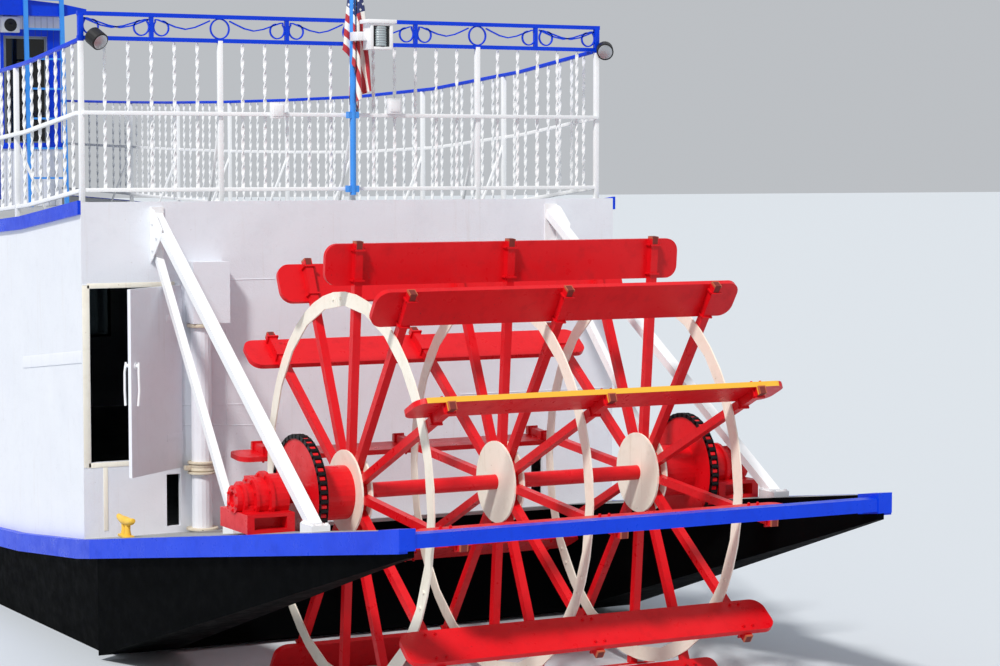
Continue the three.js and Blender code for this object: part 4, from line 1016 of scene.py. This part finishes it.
def clampTree():
    tree, entry = newTree("boardClamps", {"Bar": clamp["bar"], "Spread": clamp["spread"], "Nut": clamp["nut"]})
    bar, spread, back = clamp["bar"], clamp["spread"], clamp["back"]
    legLong = back - clamp["boardFace"] + clamp["nutTall"] + clamp["tail"]
    nutY = clamp["boardFace"] - clamp["nutTall"] / 2
    cube, cylinder = "GeometryNodeMeshCube", "GeometryNodeMeshCylinder"
    upright, lying = (0.0, 0.0, 0.0), (math.pi / 2, 0.0, 0.0)
    nut = {"Vertices": 6, "Radius": clamp["nut"] / 1.7, "Depth": clamp["nutTall"]}
    rows = [(cube, {"Size": (2 * spread + bar, bar, bar)}, (0.0, back, 0.0), upright)]
    for x in (spread, -spread):
        rows.append((cube, {"Size": (bar, legLong, bar)}, (x, back - legLong / 2, 0.0), upright))
        rows.append((cylinder, nut, (x, nutY, 0.0), lying))
    parts = []
    for kind, size, place, turn in rows:
        moved = {"Geometry": addNode(tree, kind, size), "Translation": place, "Rotation": turn}
        parts.append(addNode(tree, "GeometryNodeTransform", moved))
    return endTree(tree, entry, parts, "wheelEnamelRed", squareToFacing(tree))


spokeAngles = [math.radians(wheel["phase"] + i * 360 / wheel["count"]) for i in range(wheel["count"])]
spokes = [(frameX, a) for frameX in wheel["frames"] for a in spokeAngles]
places, facings = [], []
for frameX, a in spokes:
    for inset in clamp["inset"]:
        places.append(roundWheel(frameX, wheel["boardOuter"] - inset, a))
        facings.append((0.0, math.cos(a), math.sin(a)))
growTree("boardClamps", clampTree(), places, facings, body="wheel")

# The spokes are channels: their tips show a hollow between two flanges, drawn as thin dark red plates that are
# painted shade for the hollow
tip = {"wall": 0.008, "cut": 0.07, "proud": 0.0008}
# thin dark red plates on each tip's end and back face: painted shade where the channel is hollow
bm = bmesh.new()
half = wheel["spokeSide"] / 2 - tip["wall"]
near, far = wheel["tipRadius"] - tip["cut"], wheel["tipRadius"] + tip["proud"]
low, high = -half, wheel["spokeSide"] / 2 + tip["proud"]
for frameX, a in spokes:
    radial, back = Vector((0, math.cos(a), math.sin(a))), Vector((0, math.sin(a), -math.cos(a)))
    hub, across = Vector((frameX, wheel["y"], wheel["z"])), Vector((1, 0, 0))
    endFace = [(x, r, b) for r in (far - 2 * tip["proud"], far)
               for x, b in ((-half, low), (half, low), (half, high), (-half, high))]
    backFace = [(x, r, b) for b in (high - 2 * tip["proud"], high)
                for x, r in ((-half, near), (half, near), (half, far), (-half, far))]
    for face in (endFace, backFace):
        corners = [hub + radial * r + across * x + back * b for x, r, b in face]
        addSweep(bm, [corners[:4], corners[4:]])
finishPiece("spokeEndShadePlates", bm, "hollowShadeRed", body="wheel", smooth=False)

# Bolts through the splices of the rings
splice = {"angles": (95, 215, 335), "shifts": (-0.045, 0.045), "long": 0.012, "radius": 0.013}
bm = bmesh.new()
for frameX in wheel["frames"]:
    x0 = frameX + wheel["spokeSide"] / 2 + wheel["ringThick"]
    for degrees in splice["angles"]:
        for shift in splice["shifts"]:
            reach = wheel["ringOuter"] - wheel["ringWide"] / 2
            centre = Vector(roundWheel(x0, reach, math.radians(degrees) + shift))
            addRod(bm, centre, centre + Vector((splice["long"], 0, 0)), splice["radius"], 6)
finishPiece("ringBolts", bm, "glossEnamelCream", body="wheel")
print("wheel is bolted up")

# Drive units: cap bolts round the gearbox and the bearing
drive = {
    "bolt": 0.011, "boltTall": 0.012,
    "faces": ((2.105, 0.185, 8), (2.215, 0.148, 8), (2.3505, 0.085, 6)),  # x, radius, count
}
places, facings = [], []
for side in (1, -1):
    for x, radius, count in drive["faces"]:
        for a in turns(count, 0.5):
            places.append(roundWheel(side * x, radius, a))
            facings.append((float(side), 0.0, 0.0))
boltSizes = {"Across": drive["bolt"], "Height": drive["boltTall"]}
growTree("driveBolts", boltTree("glossEnamelRed"), places, facings, sizes=boltSizes)

# Struts: bolted gusset at the transom, and bolts at each foot
strut = {
    "topX": 1.96, "topDrop": 0.14, "side": 0.052, "plateThick": 0.01, "bolt": 0.014,
    # y and height from the strut's top, of the gusset's corners and of its bolts
    "gusset": ((5.702, 0.085), (5.702, -0.40), (5.76, -0.36), (5.97, -0.17), (5.99, -0.10), (5.80, 0.06)),
    "gussetBolts": ((5.76, -0.05), (5.86, -0.17), (5.76, -0.28)),
    "footX": 2.06, "footY": (0.93, -0.64), "footTop": 0.061, "footBolts": (0.058, 0.088),
}
strutTop = upperZ(boat["transom"]) - strut["topDrop"]
bm = bmesh.new()
places, facings = [], []
for side in (1, -1):
    outer = side * (strut["topX"] + strut["side"])
    plateFaces = (outer, outer + side * strut["plateThick"])
    addSweep(bm, [[(x, y, strutTop + z) for y, z in strut["gusset"]] for x in plateFaces])
    for y, z in strut["gussetBolts"]:
        places.append((outer + side * (strut["plateThick"] + 0.002), y, strutTop + z))
        facings.append((float(side), 0.0, 0.0))
    for y in [wheel["y"] + aft for aft in strut["footY"]]:
        for wayX, wayY in ((-1, -1), (-1, 1), (1, -1), (1, 1)):
            dx, dy = wayX * strut["footBolts"][0], wayY * strut["footBolts"][1]
            places.append((side * strut["footX"] + dx, y + dy, mainZ(y) + strut["footTop"]))
            facings.append((0.0, 0.0, 1.0))
finishPiece("strutGussets", bm, "satinEnamelRail", bevel=0.003)
boltSizes = {"Across": strut["bolt"], "Height": strut["bolt"]}
growTree("strutBolts", boltTree("satinEnamelRail"), places, facings, sizes=boltSizes)
print("drives and struts are fitted")

# Transom: plate seams and the strips round the service doorway
transom = {
    "skin": boat["transom"] + 0.0002, "seamWide": 0.012, "seamProud": 0.003, "stripProud": 0.0033,
    "seams": (  # x0, z0, x1, z1
        (1.78, 2.13, 1.00, 2.10), (1.76, 1.95, 0.98, 1.91), (1.36, 3.22, 0.85, 3.22), (1.32, 1.93, 1.32, 2.78),
        (2.64, 3.205, 1.74, 3.205), (-0.2, 3.22, -1.9, 3.22), (-1.0, 2.1, -2.6, 2.1)),
    "strips": (  # x0, x1, z0, z1
        (2.580, 2.644, 1.62, 3.20), (1.80, 2.60, 3.172, 3.215), (1.80, 2.60, 1.615, 1.658),
        (2.43, 2.47, 1.06, 1.62)),
}
bm = bmesh.new()
for x0, z0, x1, z1 in transom["seams"]:
    along = Vector((x1 - x0, 0, z1 - z0)).normalized()
    across = Vector((-along.z, 0, along.x)) * transom["seamWide"] / 2
    proud = Vector((0, transom["seamProud"], 0))
    addSweep(bm, [[p - across, p + across, p + across * 0.4 + proud, p - across * 0.4 + proud]
                  for p in (Vector((x0, transom["skin"], z0)), Vector((x1, transom["skin"], z1)))])
finishPiece("transomSeams", bm, "satinEnamelWhite")
bm = bmesh.new()
for x0, x1, z0, z1 in transom["strips"]:
    addBox(bm, x0, x1, transom["skin"], transom["skin"] + transom["stripProud"], z0, z1)
finishPiece("serviceDoorFrame", bm, "glossEnamelCream", bevel=0.001)

# Lever and hinge straps on the swung-out leaf, in the leaf's own line
leaf = {
    "hinge": (1.762, 5.72, 0), "open": 39.0, "thick": 0.03,
    "lever": (  # along, share out, z
        (0.765, 1.0, 2.56), (0.775, 1.1, 2.48), (0.77, 1.15, 2.32), (0.78, 1.0, 2.19)),
    "leverRadius": 0.011, "pin": (0.765, 2.53), "standOff": ((1, 0.045), (-1, 0.08)),  # side, how far
    "straps": (1.86, 2.90), "strapHalf": 0.03, "strapFrom": 0.02, "strapTo": 0.26, "strapFace": (0.0155, 0.0185),
}
leafAlong = Vector((math.cos(math.radians(leaf["open"])), math.sin(math.radians(leaf["open"])), 0))
leafOut = Vector((-leafAlong.y, leafAlong.x, 0))


def onLeaf(along, out, z):
    return Vector(leaf["hinge"]) + leafAlong * along + leafOut * out + Vector((0, 0, z))


bm = bmesh.new()
pinAlong, pinZ = leaf["pin"]
for way, off in leaf["standOff"]:
    face, out = way * leaf["thick"] / 2, way * off
    addTube(bm, [onLeaf(along, out * share, z) for along, share, z in leaf["lever"]], leaf["leverRadius"])
    for end, radius, sides in ((out, 0.016, 12), (face + way * 0.008, 0.032, 16)):
        addRod(bm, onLeaf(pinAlong, face, pinZ), onLeaf(pinAlong, end, pinZ), radius, sides)
finishPiece("serviceDoorLever", bm, "satinEnamelRail", body="service_door")
bm = bmesh.new()
low, high, half = *leaf["strapFace"], leaf["strapHalf"]
section = ((low, -half), (low, half), (high, half), (high, -half))
for z in leaf["straps"]:
    addSweep(bm, [[onLeaf(along, out, z + dz) for out, dz in section]
                  for along in (leaf["strapFrom"], leaf["strapTo"])])
finishPiece("serviceDoorStraps", bm, "satinEnamelWhite", body="service_door", bevel=0.001)

# Exhaust: flanges up the pipe, and a clamp with its lug
exhaust = {
    "x": 1.6, "y": 5.805, "clampZ": 1.58, "clampHalf": 0.036, "lug": (0.09, 0.16), "lugHalf": (0.03, 0.02),
    "clamp": ((0, 0.098), (0.2, 0.118), (0.5, 0.108), (0.8, 0.118), (1, 0.098)),
}
pipeX, pipeY, clampZ = exhaust["x"], exhaust["y"], exhaust["clampZ"]
flanges = (  # z, radius, height
    (clampZ + 0.045, 0.125, 0.02), (clampZ - 0.045, 0.125, 0.02),
    (mainZ(5.9) + 0.012, 0.14, 0.02), (2.83, 0.12, 0.03))
bm = bmesh.new()
for z, radius, tall in flanges:
    addRod(bm, (pipeX, pipeY, z - tall / 2), (pipeX, pipeY, z + tall / 2), radius, 28)
finishPiece("exhaustFlanges", bm, "rustStainedWhite", bevel=0.003)
bm = bmesh.new()
ends = [(pipeX, pipeY, clampZ + way * exhaust["clampHalf"]) for way in (-1, 1)]
addTurned(bm, *ends, exhaust["clamp"])
(x0, x1), (deep, tall) = exhaust["lug"], exhaust["lugHalf"]
addBox(bm, pipeX + x0, pipeX + x1, pipeY - deep, pipeY + deep, clampZ - tall, clampZ + tall)
finishPiece("exhaustClamp", bm, "rustStainedWhite", bevel=0.004)
print("transom is dressed")

# Pilothouse: blue field with a sill band on the aft wall, and the horn beside the door
pilot = {
    "aft": -6.67, "fore": -9.05, "half": 1.2, "floor": upperZ(-6.67) + 0.03, "sill": 0.81, "head": 2.26,
    "doorHalf": 0.35, "skin": 0.006, "blueLow": 4.47, "blueHigh": 6.05, "gap": 0.002, "bandProud": 0.014,
    "aftPanes": ((-1.01, -0.41), (0.41, 1.01)), "forePanes": ((-1.02, -0.38), (-0.32, 0.32), (0.38, 1.02)),
    "sidePanes": ((-8.85, -7.93), (-7.79, -6.87)), "horn": (-0.49, 6.10),
}
sillZ, headZ = pilot["floor"] + pilot["sill"], pilot["floor"] + pilot["head"]
blueLow, blueHigh, gap = pilot["blueLow"], pilot["blueHigh"], pilot["gap"]
y0, y1 = pilot["aft"] + 0.0003, pilot["aft"] + pilot["skin"]
jamb, corner = pilot["doorHalf"] + 0.012, pilot["half"]
pane0, pane1 = pilot["aftPanes"][1]
panels = (  # x0, x1, z0, z1 on the port side
    (jamb, pane0 - gap, blueLow, blueHigh), (pane1 + gap, corner - gap, blueLow, blueHigh),
    (pane0 - gap, pane1 + gap, headZ + gap, blueHigh), (pane0 - gap, pane1 + gap, blueLow, sillZ - gap))
bm = bmesh.new()
for side in (1, -1):
    for x0, x1, z0, z1 in panels:
        addBox(bm, side * x0, side * x1, y0, y1, z0, z1)
finishPiece("pilothouseBluePanels", bm, "boardedEnamelBlue", smooth=False)
bandY, foreY, proud = y1 + 0.012, pilot["fore"], pilot["bandProud"]
bandLow, bandHigh = blueLow - 0.03, blueLow + 0.05
bands = (  # x0, x1, y0, y1, z0, z1 on the port side
    (jamb, corner + 0.012, y0, bandY, bandLow, bandHigh),
    (corner + 0.0003, corner + proud, foreY, bandY, bandLow, bandHigh),
    (corner + 0.0003, corner + proud, foreY, bandY, blueHigh, blueHigh + 0.03))
bm = bmesh.new()
for side in (1, -1):
    for x0, x1, *rest in bands:
        addBox(bm, side * x0, side * x1, *rest)
addBox(bm, -corner, corner, foreY - proud, foreY - 0.0003, bandLow, bandHigh)
finishPiece("pilothouseSillBand", bm, "glossEnamelBlue", bevel=0.002)
bm = bmesh.new()
hornX, hornZ = pilot["horn"]
addBox(bm, hornX - 0.13, hornX + 0.13, y0, pilot["aft"] + 0.07, hornZ - 0.10, hornZ + 0.115)
finishPiece("hornHousing", bm, "satinEnamelRail", bevel=0.012, segments=3)
throat = (  # from and to behind the wall, the radius there, sides
    (0.0705, 0.0755, 0.088, 0.084, 28), (0.0745, 0.090, 0.034, 0.012, 20))
bm = bmesh.new()
for start, end, r0, r1, sides in throat:
    ends = [(hornX, pilot["aft"] + y, hornZ) for y in (start, end)]
    addTurned(bm, *ends, [(0, r0), (1, r1)], sides)
finishPiece("hornThroat", bm, "mouldedBlack")
print("pilothouse is trimmed")

# Lamps: glazed faces in black rims, a ribbed lens in the stern light, and two junction boxes on the rail
lamps = {
    "radius": 0.08, "front": 0.0552, "height": 1.42,
    "places": (((2.465, 5.6235), (-0.3, 0.8, -0.5)), ((-2.600, 5.6235), (0.45, 0.85, -0.25))),  # x and y, facing
    "light": (-0.14, flag["staffY"] + 0.17, deckZ + 1.49),
    "boxes": ((0.77, 4.73), (-0.39, 4.78)), "boxHalf": 0.062,
}
radius = lamps["radius"]
rims, faces = bmesh.new(), bmesh.new()
for (x, y), facing in lamps["places"]:
    aim = Vector(facing).normalized()
    front = Vector((x, y, deckZ + lamps["height"])) + aim * lamps["front"]
    addTurned(rims, front, front + aim * 0.012, [(0, radius), (0.6, radius), (1, radius * 0.86)], 28)
    addTurned(faces, front + aim * 0.0122, front + aim * 0.017, [(0, radius * 0.84), (1, radius * 0.7)], 28)
finishPiece("floodlightRims", rims, "mouldedBlack")
finishPiece("floodlightFaces", faces, "castAluminium")
lightX, lightY, lightZ = lamps["light"]
armX, armY = flag["staffX"] - lightX, flag["staffY"] - lightY
caseBoxes = (  # x0, x1, y0, y1, z0, z1 from the light's place
    (-0.112, 0.112, -0.075, 0.068, -0.12, 0.12),
    (-0.145, 0.145, -0.08, 0.105, 0.115, 0.15),
    (-0.112, -0.082, 0.066, 0.092, -0.12, 0.12),
    (0.082, 0.112, 0.066, 0.092, -0.12, 0.12),
    (-0.082, 0.082, 0.066, 0.092, -0.12, -0.094),
    (-0.082, 0.082, 0.066, 0.092, 0.094, 0.12),
    (armX - 0.018, armX + 0.04, armY + 0.0283, 0.02, -0.04, 0.04),
    (0.0, armX - 0.0175, -0.04, 0.0185, -0.038, 0.038),
)
recessBox = (-0.081, 0.081, 0.0683, 0.072, -0.093, 0.093)


def addAtLight(bm, x0, x1, y0, y1, z0, z1):
    addBox(bm, lightX + x0, lightX + x1, lightY + y0, lightY + y1, lightZ + z0, lightZ + z1)


bm = bmesh.new()
for box in caseBoxes:
    addAtLight(bm, *box)
finishPiece("sternLightCase", bm, "satinEnamelRail", bevel=0.004, replaces="stern_light")
bm = bmesh.new()
addAtLight(bm, *recessBox)
finishPiece("sternLightRecess", bm, "mouldedBlack")
bm = bmesh.new()
ribs = [(share / 16, 0.062 + (0.004 if share % 2 else 0.0)) for share in range(17)]
addTurned(bm, *[(lightX, lightY + 0.036, lightZ + z) for z in (-0.088, 0.088)], ribs, 32)
finishPiece("sternLightLens", bm, "ribbedPolycarbonate")
bm = bmesh.new()
half = lamps["boxHalf"]
y0 = rail["y"] + rail["midOut"] + rail["tube"] / 2 + 0.0004
for x, z in lamps["boxes"]:
    addBox(bm, x - half, x + half, y0, y0 + 0.055, z - half * 1.3, z + half)
    addBox(bm, x - half * 0.8, x + half * 0.8, y0 + 0.054, y0 + 0.062, z - half, z + half * 0.7)
finishPiece("railJunctionBoxes", bm, "satinEnamelRail", bevel=0.004)
print("lamps are fitted")

# Cleat with rounded, upturned horns on a two-legged base
cleat = {
    "x": 2.48, "y": 6.3, "half": 0.186, "axis": mainZ(6.3) + 0.142, "foot": mainZ(6.36) + 0.0003, "upturn": 0.022,
    "radii": (0.020, 0.026, 0.029, 0.031, 0.033, 0.035, 0.037, 0.038, 0.038),  # from a horn's end to the middle
    "base": (0.04, 0.10), "legs": (-0.042, 0.042), "leg": ((0, 0.034), (0.4, 0.024), (1, 0.026)),
}
x, y, foot = cleat["x"], cleat["y"], cleat["foot"]
bm = bmesh.new()
rings = []
for i, radius in enumerate(cleat["radii"] + cleat["radii"][-2::-1]):
    share = i / 8 - 1
    centre = Vector((x, y + share * cleat["half"], cleat["axis"] + cleat["upturn"] * abs(share) ** 2.5))
    rings.append(circle(centre, Vector((1, 0, 0)), Vector((0, 0, 1)), radius, 16))
addSweep(bm, rings)
wide, long = cleat["base"]
addBox(bm, x - wide, x + wide, y - long, y + long, foot - 0.006, foot + 0.016)
for shift in cleat["legs"]:
    addTurned(bm, (x, y + shift, foot + 0.01), (x, y + shift, cleat["axis"]), cleat["leg"], 16)
finishPiece("mooringCleat", bm, "glossEnamelYellow", bevel=0.003, replaces="port_cleat")

# Side walls: the lap of the plating along the house, which steps up aft of the windows
lap = {
    "ends": (-7.7, 5.69), "step": 2.1, "skin": 0.0003, "proud": 0.007,
    "aft": (1.53, 1.64), "fore": (0.70, 0.78),  # low and high edge above the main deck
}
bm = bmesh.new()
for side in (1, -1):
    x0, x1 = side * (boat["wallOuter"] + lap["skin"]), side * (boat["wallOuter"] + lap["proud"])
    rings = {"aft": [], "fore": []}
    for y in between(*lap["ends"]):
        band = "aft" if y > lap["step"] else "fore"
        low, high = [mainZ(y) + edge for edge in lap[band]]
        rings[band].append([(x0, y, low), (x1, y, low + 0.004), (x1, y, high - 0.012), (x0, y, high)])
    for band in rings.values():
        addSweep(bm, band)
finishPiece("houseLapBands", bm, "satinEnamelWhite")
print("house walls are trimmed")

# Glass of the front wall, in gaskets, and of the pilothouse, in grey frames
frontWindow = {"span": (1.10, 2.25), "sill": 1.0043, "tall": 0.8}
inward = panes["wallMiddle"]
sill = mainZ(boat["houseFront"]) + frontWindow["sill"]
openings = []
for side in (1, -1):
    a0, a1 = sorted(side * x for x in frontWindow["span"])
    openings.append(("house", "Y", boat["houseFront"] + inward, a0, a1, sill, sill + frontWindow["tall"]))
for at, row in ((pilot["aft"] - inward, pilot["aftPanes"]), (pilot["fore"] + inward, pilot["forePanes"])):
    openings += [("pilot", "Y", at, a0, a1, sillZ, headZ) for a0, a1 in row]
for side in (1, -1):
    at = side * (pilot["half"] - inward)
    openings += [("pilot", "X", at, a0, a1, sillZ, headZ) for a0, a1 in pilot["sidePanes"]]
surrounds = {"house": ("frontGaskets", "nitrileRubber"), "pilot": ("pilothouseFrames", "anodisedGrey")}
glaze("frontPanes", surrounds, openings)
print("pilothouse is glazed")
